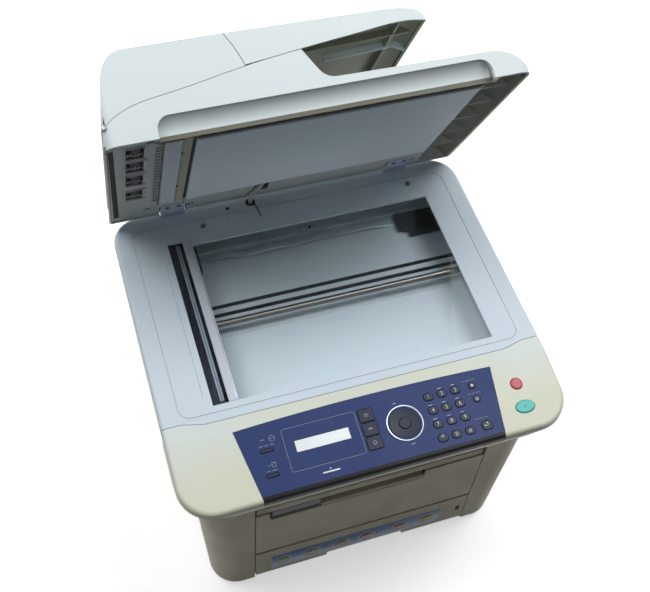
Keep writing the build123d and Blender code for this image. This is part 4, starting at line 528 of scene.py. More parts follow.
def prism(points, z0, z1, bevel=0.15, crown=0.0):
    """Closed plate over an outline, with a rounded upper rim and an optional crowned top."""
    rings = [[(x, y, z0) for x, y in points]]
    for step in range(4):
        a = math.radians(90.0 * step / 3)
        ring = inset(points, bevel * (1 - math.cos(a)))
        rings.append([(x, y, z1 - bevel + bevel * math.sin(a)) for x, y in ring])
    if crown:
        for share in (0.75, 0.45):
            top = z1 + crown * (1 - share * share)
            rings.append([(x * share, y * share, top) for x, y in inset(points, bevel)])
    n = len(points)
    verts = [v for ring in rings for v in ring]
    faces = [tuple(reversed(range(n)))]
    for r in range(len(rings) - 1):
        faces += quads(r * n, (r + 1) * n, n)
    last = (len(rings) - 1) * n
    faces.append(tuple(range(last, last + n)))
    return verts, faces


def ring_plate(outer, inner, z0, z1):
    """Flat frame between two outlines with the same number of points."""
    n = len(outer)
    verts = [(x, y, z0) for x, y in outer] + [(x, y, z1) for x, y in outer]
    verts += [(x, y, z1) for x, y in inner] + [(x, y, z0) for x, y in inner]
    faces = []
    for k in range(4):
        faces += quads(k * n, ((k + 1) % 4) * n, n)
    return verts, faces


def lathe(profile, steps=32):
    """Body of revolution about local z from (radius, height) points, from the bottom up."""
    verts, faces = [], []
    for r, z in profile:
        verts += [(r * math.cos(2 * math.pi * i / steps), r * math.sin(2 * math.pi * i / steps), z)
                  for i in range(steps)]
    for k in range(len(profile) - 1):
        faces += quads(k * steps, (k + 1) * steps, steps)
    last = (len(profile) - 1) * steps
    faces.append(tuple(reversed(range(steps))))
    faces.append(tuple(range(last, last + steps)))
    return verts, faces


def bar(x0, x1, y0, y1, z0, z1, bevel=0.3):
    """Box with rounded upper rim and small corner radii."""
    outline = rounded_outline(x1 - x0, y1 - y0, bevel * 1.5, 3)
    part = prism(outline, z0, z1, min(bevel, (z1 - z0) * 0.45))
    return shifted(part, (x0 + x1) / 2, (y0 + y1) / 2)


def swept(points, r, steps=12, closed=False):
    """Round tube along points."""
    pts = [Vector(p) for p in points]
    n = len(pts)
    verts, faces = [], []
    up = None
    for i, p in enumerate(pts):
        a = pts[i - 1] if (i or closed) else pts[i]
        b = pts[(i + 1) % n] if (i < n - 1 or closed) else pts[i]
        t = (b - a).normalized()
        if up is None:
            up = t.orthogonal().normalized()
        up = (up - t * up.dot(t)).normalized()
        side = t.cross(up)
        for k in range(steps):
            w = 2 * math.pi * k / steps
            verts.append(tuple(p + up * (r * math.cos(w)) + side * (r * math.sin(w))))
    rows = n if closed else n - 1
    for i in range(rows):
        faces += quads(i * steps, ((i + 1) % n) * steps, steps)
    if not closed:
        faces.append(tuple(reversed(range(steps))))
        faces.append(tuple(range((n - 1) * steps, n * steps)))
    return verts, faces


def mesh_of(curve):
    """Mesh that a curve evaluates to. The curve itself is dropped."""
    holder = linked("curve_holder", curve)
    bpy.context.view_layer.update()
    mesh = bpy.data.meshes.new_from_object(holder.evaluated_get(bpy.context.evaluated_depsgraph_get()))
    bpy.data.objects.remove(holder)
    bpy.data.curves.remove(curve)
    return mesh


def lettering(name, text, size, frame_matrix, material, body, lift=0.06, thick=0.05):
    """Raised print from plain characters."""
    curve = bpy.data.curves.new(name + "_curve", "FONT")
    curve.body = text
    curve.size = size
    curve.align_x = "CENTER"
    curve.align_y = "CENTER"
    curve.extrude = thick
    curve.resolution_u = 3
    mesh = mesh_of(curve)
    mesh.transform(frame_matrix @ Matrix.Translation((0, 0, lift)))
    mesh.materials.clear()
    mesh.materials.append(material)
    obj = linked(name, mesh)
    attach(obj, body)


# Control panel: print, ring, lamp and marks

KEY_COLUMNS = (68.8, 84.9, 101.0)
KEY_ROWS = (-144.0, -160.4, -176.8, -193.0)
KEYPAD = ("1", "2", "3", "4", "5", "6", "7", "8", "9", "*", "0", "#")
KEY_NODES = ("1", "2", "3", "4", "5", "6", "7", "8", "9", "star", "0", "hash")
KEYS_WITH_DASH = ("2", "3", "4", "5", "6", "7", "8", "9")
NAV_AT = (33.5, -166.0)
STOP_AT = (172.0, -155.0)
START_AT = (171.5, -183.0)

BUTTON_TOP = 2.0
DIGIT_SIZE = 6.4
STAR_SIZE = 9.0


def printed(name, part, place, material=grey_ink, body="base"):
    """Thin print on the panel or on a key."""
    solid(name, *part, place, material, body, "deck_white")


def dash_row(gap, centre=True):
    """Dashes side by side, gap apart, in place of a line of print."""
    offsets = (-gap, 0.0, gap) if centre else (-gap, gap)
    return joined([shifted(dash_mark, dx, 0.0) for dx in offsets])


key_dash = prism(rounded_outline(4.6, 0.7, 0.3), 0.0, 0.08, 0.02)
dash_mark = prism(rounded_outline(5.0, 0.8, 0.4), 0.0, 0.08, 0.02)
for index, numeral in enumerate(KEYPAD):
    kx, ky = KEY_COLUMNS[index % 3], KEY_ROWS[index // 3]
    body = "key_" + KEY_NODES[index] + "_body"
    size = STAR_SIZE if numeral == "*" else DIGIT_SIZE
    lettering("numeral_" + KEY_NODES[index], numeral, size, panel(kx, ky, KEY_RISE), ink, body)
    if numeral in KEYS_WITH_DASH:
        printed("key_dash_" + numeral, key_dash, panel(kx - 1.0, ky + 6.6), ink)

printed("nav_dash_upper", key_dash, panel(NAV_AT[0] - 4.5, NAV_AT[1] + 24.6), ink)
printed("nav_dash_lower", key_dash, panel(NAV_AT[0] + 1.5, NAV_AT[1] - 24.6), ink)

ring = lathe([(19.3, 0.0), (19.3, 1.0), (19.7, 1.5), (20.4, 1.6), (20.9, 1.2), (21.1, 0.4), (21.1, 0.0)], 64)
ring = (ring[0], ring[1][:-2] + quads(6 * 64, 0, 64))
solid("nav_ring", *ring, panel(*NAV_AT), silver, "base", "steel")

frame_line = rounded_outline(83.5, 49.3, 3.0)
printed("display_frame_line", ring_plate(frame_line, inset(frame_line, 0.45), 0.0, 0.08),
        panel(-58.75, -162.65, 0.02))

solid("lamp_lens", *prism(rounded_outline(19.4, 1.6, 0.8), -0.6, 0.15, 0.1), panel(-60.0, -195.8), lcd,
      "base", "display")
printed("lamp_mark", prism([(-1.4, -0.8), (1.4, -0.8), (0.0, 1.3)], 0.0, 0.08, 0.02),
        panel(-60.0, -192.6, 0.02), ink)

# Plain symbols on the other keys
arc = [(2.0 * math.cos(math.radians(a)), 2.0 * math.sin(math.radians(a)), 0.1) for a in range(200, 381, 20)]
handset = joined([swept([(x, y + 1.2, z) for x, y, z in arc], 0.45, 8),
                  shifted(prism(rounded_outline(1.6, 2.0, 0.5), 0.0, 0.4, 0.1), -2.0, 1.4),
                  shifted(prism(rounded_outline(1.6, 2.0, 0.5), 0.0, 0.4, 0.1), 2.0, 1.4)])
turned = ([(x * 0.77 - y * 0.64, x * 0.64 + y * 0.77, z) for x, y, z in handset[0]], handset[1])
printed("handset_mark", turned, panel(121.5, -192.0, KEY_RISE), ink, "on_hook_key_body")
printed("dot_mark", prism(ellipse_outline(1.7, 1.7), 0.0, 0.12, 0.04), panel(121.5, -144.0, KEY_RISE),
        ink, "redial_key_body")
printed("ring_mark", ring_plate(ellipse_outline(1.8, 1.8), ellipse_outline(1.1, 1.1), 0.0, 0.12),
        panel(121.5, -160.4, KEY_RISE), ink, "pause_key_body")
arrow = [(-2.6, 0.0), (0.2, 2.0), (0.2, 0.8), (2.6, 0.8), (2.6, -0.8), (0.2, -0.8), (0.2, -2.0)]
menu_bar = prism(rounded_outline(5.0, 0.7, 0.3), 0.0, 0.1, 0.03)
bars = joined([shifted(menu_bar, 0.0, dy) for dy in (-1.5, 0.0, 1.5)])
printed("bars_mark", bars, panel(-5.4, -146.5, KEY_RISE), body="menu_key_body")
printed("arrow_mark", prism(list(reversed(arrow)), 0.0, 0.1, 0.02), panel(-5.4, -162.6, KEY_RISE),
        body="back_key_body")
printed("cancel_mark", ring_plate(ellipse_outline(2.2, 2.2), ellipse_outline(1.5, 1.5), 0.0, 0.1),
        panel(-5.4, -178.7, KEY_RISE), body="cancel_key_body")

sheet_outline = rounded_outline(4.2, 5.2, 0.5)
sheet_mark = ring_plate(sheet_outline, inset(sheet_outline, 0.5), 0.0, 0.08)
circle_mark = ring_plate(ellipse_outline(3.4, 3.4), ellipse_outline(2.9, 2.9), 0.0, 0.08)
copy_mark = joined([shifted(circle_mark, 6.0, 0.0), shifted(dash_mark, 6.0, 0.0),
                    shifted(dash_mark, -4.5, 0.4)])
printed("copy_mark", copy_mark, panel(-117.5, -144.5))
printed("copy_underline", dash_row(6.2), panel(-119.5, -151.0))
printed("memory_mark", joined([dash_mark, shifted(sheet_mark, 4.6, 0.0)]), panel(-121.5, -173.0))
printed("memory_underline", dash_row(3.2, centre=False), panel(-121.0, -179.0))
for name, ux, uy in (("hook", 118.5, -182.5), ("redial", 119.0, -137.0), ("pause", 120.0, -153.0)):
    printed(name + "_underline", dash_row(5.6), panel(ux, uy))
diamond = [(0.0, 2.4), (-1.6, 0.0), (0.0, -2.4), (1.6, 0.0)]
small_diamond = [(x * 0.62, y * 0.62) for x, y in diamond]
mark_teal = glossy("start_mark_teal", screen(26, 120, 122), dust=0.0)
solid("start_mark", *ring_plate(diamond, small_diamond, 0.0, 0.1), panel(*START_AT, BUTTON_TOP), mark_teal,
      "start_button_body", "teal")
stop_ring = ring_plate(ellipse_outline(3.4, 3.4), ellipse_outline(2.8, 2.8), 0.0, 0.1)
stop_dash = prism(rounded_outline(3.4, 0.7, 0.3), 0.0, 0.1, 0.02)
mark_pale = glossy("stop_mark_pale", screen(226, 130, 140), dust=0.0)
solid("stop_mark", *joined([stop_ring, stop_dash]), panel(*STOP_AT, BUTTON_TOP), mark_pale,
      "stop_button_body", "red")

# Scanner deck, seen from above

CARRIAGE_TOP_Z = 293.0
TUB_FLOOR_Z = 262.8
TUB_FLOOR = deck(0, 0, TUB_FLOOR_Z)
SLIT_FRONT_Y = -91.0
SLIT_REAR_Y = 137.0
DECK_SCREWS = ((-114.0, 155.0), (154.0, 155.0))


def screw_head(r, height):
    """Pan head as a body of revolution; screw() adds its cross-shaped recess as two dark bars."""
    return lathe([(r, 0.0), (r, height * 0.3), (r * 0.86, height * 0.75), (r * 0.5, height), (0.02, height)],
                 28)


def screw(name, frame_matrix, body, r=3.1, height=1.3, material=None):
    material = material or screw_steel
    solid(name, *screw_head(r, height), frame_matrix, material, body, "steel")
    arm = prism(rounded_outline(r * 1.05, r * 0.26, 0.1, 2), height - 0.15, height + 0.03, 0.02)
    other = ([(-y, x, z) for x, y, z in arm[0]], arm[1])
    solid(name + "_cross", *joined([arm, other]), frame_matrix, gap_black, body, "black")


dark_screw = metal("blackened_screw", screen(70, 72, 80), rough=0.35)
DECK_SCREW_R = 3.1
for tag, (sx, sy) in numbered(DECK_SCREWS):
    screw("deck_screw_" + tag, deck(sx, sy, DECK_Z - 1.5), "base", DECK_SCREW_R, 1.5, screw_zinc)
    collar = ring_plate(ellipse_outline(4.9, 4.9), ellipse_outline(4.4, 4.4), -0.3, 0.12)
    solid("deck_screw_collar_" + tag, *collar, deck(sx, sy), deck_white, "base", "deck_white")

solid("divider_strip", *bar(-143.3, -133.2, SLIT_FRONT_Y + 0.4, SLIT_REAR_Y + 1.0, -0.3, 0.6, 0.35),
      deck(0, 0), strip_silver, "base", "deck_white")
solid("divider_strip_line", *bar(-135.2, -134.4, SLIT_FRONT_Y + 3, SLIT_REAR_Y - 2, 0.5, 0.68, 0.05),
      deck(0, 0), silver, "base", "steel")
sensor_hole = lathe([(2.3, -0.4), (2.3, 0.06), (2.0, 0.12), (0.02, 0.12)], 24)
solid("lid_sensor_hole", *sensor_hole, deck(-78.5, 173.6), gap_black, "base", "black")
printed("deck_mark", bar(-82.5, -81.9, 151.0, 162.0, -0.2, 0.06, 0.03), deck(0, 0))
for tag, my in numbered((-64.0, -18.0, 28.0)):
    printed("slit_mark_" + tag, bar(-171.6, -169.4, my - 0.25, my + 0.25, -0.2, 0.06, 0.03), deck(0, 0))
printed("edge_mark", bar(-170.4, -170.0, SLIT_FRONT_Y + 12, SLIT_REAR_Y - 30, -0.2, 0.05, 0.02), deck(0, 0))

solid("floor_ridge", *bar(-124.0, 150.0, -0.25, 0.25, -0.2, 0.35, 0.15), deck(0.0, 14.5, TUB_FLOOR_Z),
      tub_white, "base", "deck_white")

# Scan head under the glass
HEAD = deck(0, 0, CARRIAGE_TOP_Z)
solid("lamp_reflector", *bar(-152.6, -147.5, -84.0, 137.5, -0.4, 0.7, 0.5), HEAD, strip_blue, "scan_head",
      "mat_white")
solid("lamp_line", *bar(-150.4, -149.8, -83.0, 136.0, 0.6, 0.78, 0.05), HEAD, black, "scan_head", "black")
solid("lamp_shade", *bar(-147.3, -143.4, -85.0, 138.0, -0.5, 0.9, 0.3), HEAD, gap_black, "scan_head", "black")
solid("head_side_block", *bar(-134.2, -129.2, 95.0, 131.0, -12.0, 0.9, 0.5), HEAD, gap_black, "scan_head",
      "black")
solid("head_ridge", *bar(-164.8, -163.8, -85.0, 138.0, -0.4, 0.5, 0.2), HEAD, carriage_black, "scan_head",
      "black")

# Motor cover details
MOTOR_TOP_Z = 267.3
MOTOR = deck(0, 0, MOTOR_TOP_Z)
MOTOR_LID_H = 0.6
solid("motor_cap", *bar(147.0, 181.0, 101.0, 132.0, -1.0, MOTOR_LID_H, 0.5), MOTOR, black, "base", "black")
solid("motor_step", *bar(133.0, 147.0, 112.0, 132.0, -1.0, 0.4, 0.3), MOTOR, black, "base", "black")
for tag, (mx, my) in numbered(((151.0, 105.0), (177.0, 128.0))):
    screw("motor_screw_" + tag, deck(mx, my, MOTOR_TOP_Z + MOTOR_LID_H - 0.8), "base", 2.2, 0.7)

# Flat cable on the scanner's floor, in low waves
RIBBON_FIRST = -126.0
RIBBON_STEP = 30.5
RIBBON_LOW_Z = 262.9
RIBBON_WAVE = 6.5
RIBBON_WIDTH = 13.0
RIBBON_T = 0.35


def along(points):
    """Smooth line through a soft route, read from its NURBS spline."""
    curve = bpy.data.curves.new("route", "CURVE")
    curve.dimensions = "3D"
    curve.resolution_u = 12
    line = curve.splines.new("NURBS")
    line.points.add(len(points) - 1)
    for spot, place in zip(line.points, points):
        spot.co = (*place, 1.0)
    line.order_u = 3
    line.use_endpoint_u = True
    mesh = mesh_of(curve)
    places = [v.co.copy() for v in mesh.vertices]
    bpy.data.meshes.remove(mesh)
    return places


def strip(places, width, thick):
    """Flat band with softened long edges along a line that runs in X and Z."""
    half, t = width / 2, thick / 2
    curl, bend = 1.3 * MM, 2.2 * MM
    upper = [(-half, curl), (-half + bend, t), (half - bend, t), (half, curl)]
    section = upper + [(u, w - thick) for u, w in reversed(upper)]
    verts, faces = [], []
    n = len(section)
    for i, p in enumerate(places):
        a, b = places[max(i - 1, 0)], places[min(i + 1, len(places) - 1)]
        tangent = (b - a).normalized()
        side = Vector((0, 1, 0))
        up = tangent.cross(side) * -1.0
        verts += [tuple(p + side * u + up * w) for u, w in section]
    for i in range(len(places) - 1):
        a, b = i * n, (i + 1) * n
        faces += [(a + k, b + k, b + (k + 1) % n, a + (k + 1) % n) for k in range(n)]
    faces.append(tuple(range(n)))
    faces.append(tuple(reversed(range((len(places) - 1) * n, len(places) * n))))
    return verts, faces


IDENTITY = Matrix.Identity(4)
MOTOR_SIDE_X = 127.0
RIBBON_SWAY = (7.0, 3.5, 0.5, 0.0, 0.5, 1.5, 2.0, 1.0, 0.0)
ribbon_x = [RIBBON_FIRST + RIBBON_STEP * i for i in range(len(RIBBON_SWAY) - 1)] + [MOTOR_SIDE_X]
ribbon_route = [at(x, RIBBON_Y + sway, RIBBON_LOW_Z + RIBBON_WAVE * (i % 2) + 0.4)
                for i, (x, sway) in enumerate(zip(ribbon_x, RIBBON_SWAY))]
ribbon_line = along(ribbon_route)
ribbon = solid("flat_cable", *strip(ribbon_line, RIBBON_WIDTH * MM, RIBBON_T * MM), IDENTITY, ribbon_pale,
               "base", "mat_white")
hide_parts("ribbon_cable")
CLIP_X = (-8.0, -2.0, 4.0, 10.0)
for tag, cx in numbered(CLIP_X):
    solid("cable_clip_" + tag, *bar(cx - 0.9, cx + 0.9, 136.2, 141.5, -0.3, 3.2, 0.6), TUB_FLOOR,
          rail_plastic, "base", "deck_white")
    # Painted shadow: a dark strip on the floor beside each clip.
    solid("cable_clip_shadow_" + tag, *bar(cx + 1.1, cx + 2.3, 136.5, 140.5, -0.2, 0.15, 0.05), TUB_FLOOR,
          black, "base", "black")
for tag, (dx, dy) in numbered(((17.5, 139.5), (21.6, 147.0))):
    solid("floor_pin_" + tag, *lathe([(1.5, -0.3), (1.5, 2.2), (1.1, 2.7), (0.02, 2.7)], 20),
          deck(dx, dy, TUB_FLOOR_Z), black, "base", "black")

# Harness between deck and lid, with its grommet and strap
HARNESS_R = 2.6
HOLE_X, HOLE_Y = -49, 176
STRAP_Z = 300.6
HARNESS_POINTS = ((HOLE_X, HOLE_Y, 296), (HOLE_X, HOLE_Y, 308), (-47, 173, 321), (-41, 169, 331),
                  (-35, 168, 343))
harness_route = [at(*p) for p in HARNESS_POINTS]
harness_line = along(harness_route)
harness = solid("lid_harness", *swept(harness_line, HARNESS_R * MM, 20), IDENTITY, harness_grey, None,
                "steel", 60.0)
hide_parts("lid_cable")
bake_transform(harness)
grommet = lathe([(4.0, -0.3), (4.9, -0.3), (4.9, 0.5), (4.4, 0.9), (3.3, 1.0), (2.9, 0.6), (2.9, -0.3)], 32)
grommet = (grommet[0], grommet[1][:-2])
solid("harness_grommet", *grommet, deck(HOLE_X, HOLE_Y), rubber, "base", "rubber")
STRAP_R = 5.3
strap = [(HOLE_X + STRAP_R * math.cos(math.radians(a)), HOLE_Y + STRAP_R * math.sin(math.radians(a)), 300.55)
         for a in range(0, 360, 20)]
solid("strap_loop", *swept([at(*p) for p in strap], 0.6 * MM, 10, True), IDENTITY, gap_black, "base",
      "black", 60.0)
solid("strap_head", *prism(rounded_outline(3.0, 2.6, 0.6), -0.3, 1.1, 0.3), deck(-44.6, 172.6), gap_black,
      "base", "black")
STRAP_TAIL = ((-44.6, 172.0), (-43.4, 166.0), (-42.4, 159.0), (-41.7, 151.6))
strap_tail = along([at(x, y, STRAP_Z) for x, y in STRAP_TAIL])
solid("strap_tail", *swept(strap_tail, 0.55 * MM, 10), IDENTITY, gap_black, "base", "black", 60.0)

# Underside of the lid: places are width, distance from the hinge edge, and height out of the face

UNDER_FACE = 1.5
UNDER = under_lid(0.0, 0.0, UNDER_FACE)
MAT_X = (-131.5, 172.0)
MAT_V = (56.0, 280.0)


def under_bar(name, x0, x1, v0, v1, low, high, material, slot, bevel=0.25):
    return solid(name, *bar(x0, x1, v0, v1, low, high, bevel), UNDER, material, "lid", slot)


def under_gap(name, x0, x1, v0, v1, high, bevel):
    """Dark opening drawn just over the underside."""
    under_bar(name, x0, x1, v0, v1, -0.3, high, gap_black, "rubber", bevel)


def foam_sheet(x0, x1, y0, y1, low, high, columns=48, rows=36):
    """Foam-backed sheet: rounded rim, a face that swells a little between its glued spots."""
    verts, faces = [], []

    def rise(t, size):
        edge = min(t, 1 - t) * size
        return math.sqrt(max(0.0, 1 - (1 - min(edge / 1.6, 1.0)) ** 2))

    for r in range(rows + 1):
        v = 0.5 - 0.5 * math.cos(math.pi * r / rows)
        for c in range(columns + 1):
            u = 0.5 - 0.5 * math.cos(math.pi * c / columns)
            swell = 0.16 * math.cos(9.0 * u + 2.0 * v) * math.cos(7.0 * v - 1.5 * u) - 0.16
            lift = min(rise(u, x1 - x0), rise(v, y1 - y0))
            verts.append((x0 + (x1 - x0) * u, y0 + (y1 - y0) * v,
                          low + (high - low + swell) * (0.35 + 0.65 * lift)))
    wide = columns + 1
    for r in range(rows):
        for c in range(columns):
            a = r * wide + c
            faces.append((a, a + 1, a + wide + 1, a + wide))
    loop = [c for c in range(wide)] + [r * wide + columns for r in range(1, rows + 1)]
    loop += [rows * wide + c for c in range(columns - 1, -1, -1)] + [r * wide for r in range(rows - 1, 0, -1)]
    start = len(verts)
    verts += [(verts[i][0], verts[i][1], low) for i in loop]
    n = len(loop)
    faces += [(loop[(i + 1) % n], loop[i], start + i, start + (i + 1) % n) for i in range(n)]
    faces.append(tuple(reversed(range(start, start + n))))
    return verts, faces


mat = solid("document_mat", *foam_sheet(*MAT_X, *MAT_V, 0.12, 2.6), UNDER, mat_white, "lid", "mat_white",
            50.0)
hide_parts("lid_mat")
# Painted shadow: a dark strip where the gap between the mat and the lid's rim lies in shadow.
under_bar("mat_front_gap_shadow", MAT_X[0] + 0.3, MAT_X[1] + 2.0, 280.4, 284.6, -0.2, 0.9, mat_gap_shadow, "rubber")
under_gap("mat_left_gap", -135.3, -131.8, 56.0, 289.0, 0.05, 0.05)
under_bar("pressure_plate", -162.9, -146.4, 58.6, 286.4, 2.0, 2.55, plate_white, "mat_white", 0.25)
under_gap("plate_front_gap", -163.6, -145.6, 286.8, 289.6, 0.25, 0.05)
under_gap("plate_left_gap", -165.2, -163.9, 47.0, 287.0, 0.25, 0.05)
under_gap("plate_right_gap", -145.7, -144.9, 50.0, 286.0, 0.25, 0.05)
for tag, (cx, cv) in numbered(((-163.9, 237.0), (-163.9, 85.0), (-145.4, 239.0), (-145.4, 118.0))):
    under_bar("plate_clip_" + tag, cx - 1.4, cx + 1.4, cv - 2.6, cv + 2.6, 0.1, 1.4, gap_black, "rubber", 0.3)
under_bar("feeder_side_strip", -143.6, -135.5, 52.0, 289.0, -0.2, 0.9, cream_strip, "lid_white", 0.4)
under_bar("comb_rail_left", -173.4, -172.6, 56.0, 289.0, -0.2, 0.9, under_white, "lid_white", 0.2)
under_bar("comb_rail_right", -165.9, -165.3, 56.0, 289.0, -0.2, 0.9, under_white, "lid_white", 0.2)
under_gap("front_slot", -181.6, -174.0, 290.2, 293.6, 0.08, 0.03)
under_gap("rear_slot", -181.3, -173.3, 36.2, 39.6, 0.08, 0.03)
# Painted shadow: a slanted dark sheet along the underside's left edge.
edge_shadow_sheet = [(-210.6, 22.0), (-213.9, 287.0), (-218.8, 284.0), (-216.8, 20.0)]
solid("edge_shadow_sheet", *prism(edge_shadow_sheet, -0.3, 0.12, 0.05), UNDER, painted_edge_shadow, "lid", "underside")
under_bar("front_catch", -172.8, -169.6, 284.0, 289.0, -0.2, 2.6, lid_white, "lid_white", 0.6)
for tag, cv in numbered((88.0, 142.0, 197.0, 289.5)):
    under_gap("frame_seam_" + tag, -216.0, -205.0, cv - 0.25, cv + 0.25, 0.05, 0.02)

# Feed roller windows: rims, paper fingers and ribbed tyres
ROLLER_X = -191.0
ROLLER_H = 9.0
ROLLER_WINDOWS = (92.0, 150.0, 200.0, 245.0)
WINDOW = (22.0, 42.0)


def along_lid(x, v, h):
    """Local frame whose z runs along the lid towards its front edge."""
    s, c = math.sin(LID_OPEN), math.cos(LID_OPEN)
    return pose(lid_point(x, v, h), Vector((1, 0, 0)), Vector((0, s, c)), Vector((0, -c, s)))


tyre = [(7.2, 0.0), (7.62, 0.5)]
for step in range(6):
    tyre += [(7.62, 1.2 + 2.0 * step), (7.36, 1.45 + 2.0 * step), (7.36, 1.95 + 2.0 * step),
             (7.62, 2.2 + 2.0 * step)]
tyre += [(7.62, 13.0), (7.2, 13.5)]
hub_rim = lathe([(3.1, 0.0), (5.6, 0.0), (6.0, 0.4), (6.0, 1.4), (5.6, 1.8), (3.1, 1.8)], 32)
for tag, v in numbered(ROLLER_WINDOWS):
    outer = rounded_outline(WINDOW[0] + 2.6, WINDOW[1] + 2.6, 1.6)
    inner = rounded_outline(WINDOW[0] + 0.2, WINDOW[1] + 0.2, 0.6)
    place = under_lid(ROLLER_X, v + WINDOW[1] / 2, UNDER_FACE)
    solid("window_rim_" + tag, *ring_plate(outer, inner, -0.3, 0.7), place, under_white, "lid", "lid_white")
    for part, offset in (("a", 7.5), ("b", 21.0)):
        solid("tyre_" + tag + part, *lathe(tyre, 40), along_lid(ROLLER_X, v + offset, ROLLER_H), rubber,
              "feed_rollers", "rubber")
    solid("hub_" + tag, *hub_rim, along_lid(ROLLER_X, v + 5.5, ROLLER_H), lid_white, "feed_rollers",
          "lid_white")
    for number in range(4):
        cx = ROLLER_X - 8.6 + 3.6 * number
        rib = bar(cx - 0.45, cx + 0.45, v + 15.0, v + 20.4, -2.0, 0.4, 0.2)
        solid("paper_rib_" + tag + "_" + str(number + 1), *rib, UNDER, under_white, "lid", "lid_white")
    under_bar("window_side_" + tag, ROLLER_X + 7.6, ROLLER_X + 11.4, v + 0.5, v + 41.5, -1.6, 0.3,
              under_white, "lid_white")
    under_bar("window_bridge_" + tag, ROLLER_X - 11.2, ROLLER_X + 11.2, v + 14.0, v + 15.2, -2.0, 0.4,
              under_white, "lid_white")
    for part, offset in (("a", 3.0), ("b", 38.6)):
        finger = bar(ROLLER_X - 11.6, ROLLER_X + 11.6, v + offset - 0.9, v + offset + 0.9, -0.4, 0.8, 0.35)
        solid("paper_finger_" + tag + part, *finger, UNDER, under_white, "lid", "lid_white")

# Lid-side hinge plates: two screws each, with a pressed stiffening rib
for side, hx in (("left", -145.5), ("right", 145.5)):
    for tag, dx in numbered((-7.0, 7.0)):
        screw("hinge_screw_" + side + "_" + tag, under_lid(hx + dx, 28.0, 0.2), "lid", 3.0, 1.1, dark_screw)
    under_bar("hinge_rib_" + side, hx - 9.0, hx + 9.0, 17.5, 20.0, 1.1, 1.9, hinge_plastic, "lid_white", 0.3)
    under_gap("hinge_gap_" + side, hx - 16.5, hx - 12.8, 16.0, 31.0, 0.1, 0.05)
    for tag, dx in numbered((13.6, 17.4, 21.2)):
        under_bar("hinge_stop_" + side + "_" + tag, hx + dx, hx + dx + 1.3, 17.0, 27.0, -0.3, 2.4,
                  hinge_plastic, "lid_white", 0.4)
        under_gap("hinge_stop_gap_" + side + "_" + tag, hx + dx + 1.5, hx + dx + 3.4, 17.5, 26.0, 0.1, 0.05)

# Lower side of the document tray: free end and pale rail


def along_profile(points, v0, v1):
    """Outline of x and height over the underside, drawn along the lid from v0 to v1."""
    n = len(points)
    verts = [(x, v, -h) for v in (v0, v1) for x, h in points]
    faces = [(i, (i + 1) % n, n + (i + 1) % n, n + i) for i in range(n)]
    return verts, faces + [tuple(reversed(range(n))), tuple(range(n, 2 * n))]


LID_FRAME = under_lid(0.0, 0.0, 0.0)
end_top = [(94.0, 87.6), (100.0, 88.4), (106.0, 88.6), (111.0, 87.6), (115.0, 85.2), (118.0, 81.6),
           (120.2, 77.0)]
end_low = [(118.4, 76.6), (116.4, 80.4), (113.8, 83.4), (110.2, 85.4), (106.0, 86.2), (100.0, 86.2),
           (94.0, 86.2)]
solid("tray_end", *along_profile(end_top + end_low, 16.0, 289.5), LID_FRAME, tray_white, "lid", "lid_white",
      40.0)
rail_shape = [(27.0, 83.0), (119.0, 87.2), (119.0, 72.0), (107.0, 79.0), (27.0, 75.0)]
solid("tray_rail", *along_profile(rail_shape, 226.5, 229.0), LID_FRAME, rail_plastic, "lid", "lid_white",
      20.0)

# Front of the base: sticker band, paper level mark, a grey panel of painted shade in the door's recess, bar
# over the door
BAND_PLACE = front(-6.8, 41.0)
BAND_SIZE = (226.0, 38.0)
band_blue = moulded("sticker_band", screen(122, 152, 206), rough=0.3, mottle=0.1, seam_dirt_and_shade=0.1, grain=0.02)
solid("sticker_band", *prism(rounded_outline(*BAND_SIZE, 2.5), 0.0, 0.12, 0.04), BAND_PLACE, band_blue,
      "cassette", "display")
BADGE_COLOURS = ((88, 116, 62), (108, 108, 56), (112, 78, 52), (120, 46, 82), (124, 42, 78), (166, 132, 50))
badge_rim = moulded("sticker_badge_rim", screen(196, 204, 210), rough=0.3, **CLEAN, grain=0.02)
BADGE_X = (-104.5, -66.6, -27.8, 6.3, 51.8, 89.1)
for tag, (bx, colour) in numbered(zip(BADGE_X, BADGE_COLOURS)):
    badge = moulded("sticker_badge_" + tag, screen(*colour), rough=0.3, mottle=0.1, seam_dirt_and_shade=0.0, grain=0.02)
    place = front(bx, 40.0)
    outer, inner = ellipse_outline(12.0, 11.0), ellipse_outline(10.4, 9.4)
    solid("badge_rim_" + tag, *ring_plate(outer, inner, 0.05, 0.2), place, badge_rim, "cassette", "display")
    solid("badge_" + tag, *prism(inner, 0.1, 0.18, 0.04), place, badge, "cassette", "display")
solid("level_mark", *prism(rounded_outline(5.2, 13.2, 1.0), -1.4, -0.5, 0.2), front(130.0, 45.0), gap_black,
      "cassette", "black")
# Painted shade: a grey panel set into the door's grip recess.
solid("recess_shade_panel", *prism(rounded_outline(57.0, 13.5, 1.5), -5.8, 0.8, 0.3), front(-91.0, 184.5, -181.0),
      recess_shade_grey, "front_flap", "casing")
solid("grip_step", *prism(rounded_outline(127.0, 8.0, 2.0), -9.0, 0.0, 1.2), front(2.4, 177.0, -183.4),
      casing, "front_flap", "casing")
solid("door_upper_bar", *prism(rounded_outline(276.0, 13.0, 2.0), -4.0, 0.0, 0.8), front(0.0, 200.6, -182.6),
      casing, "base", "casing")

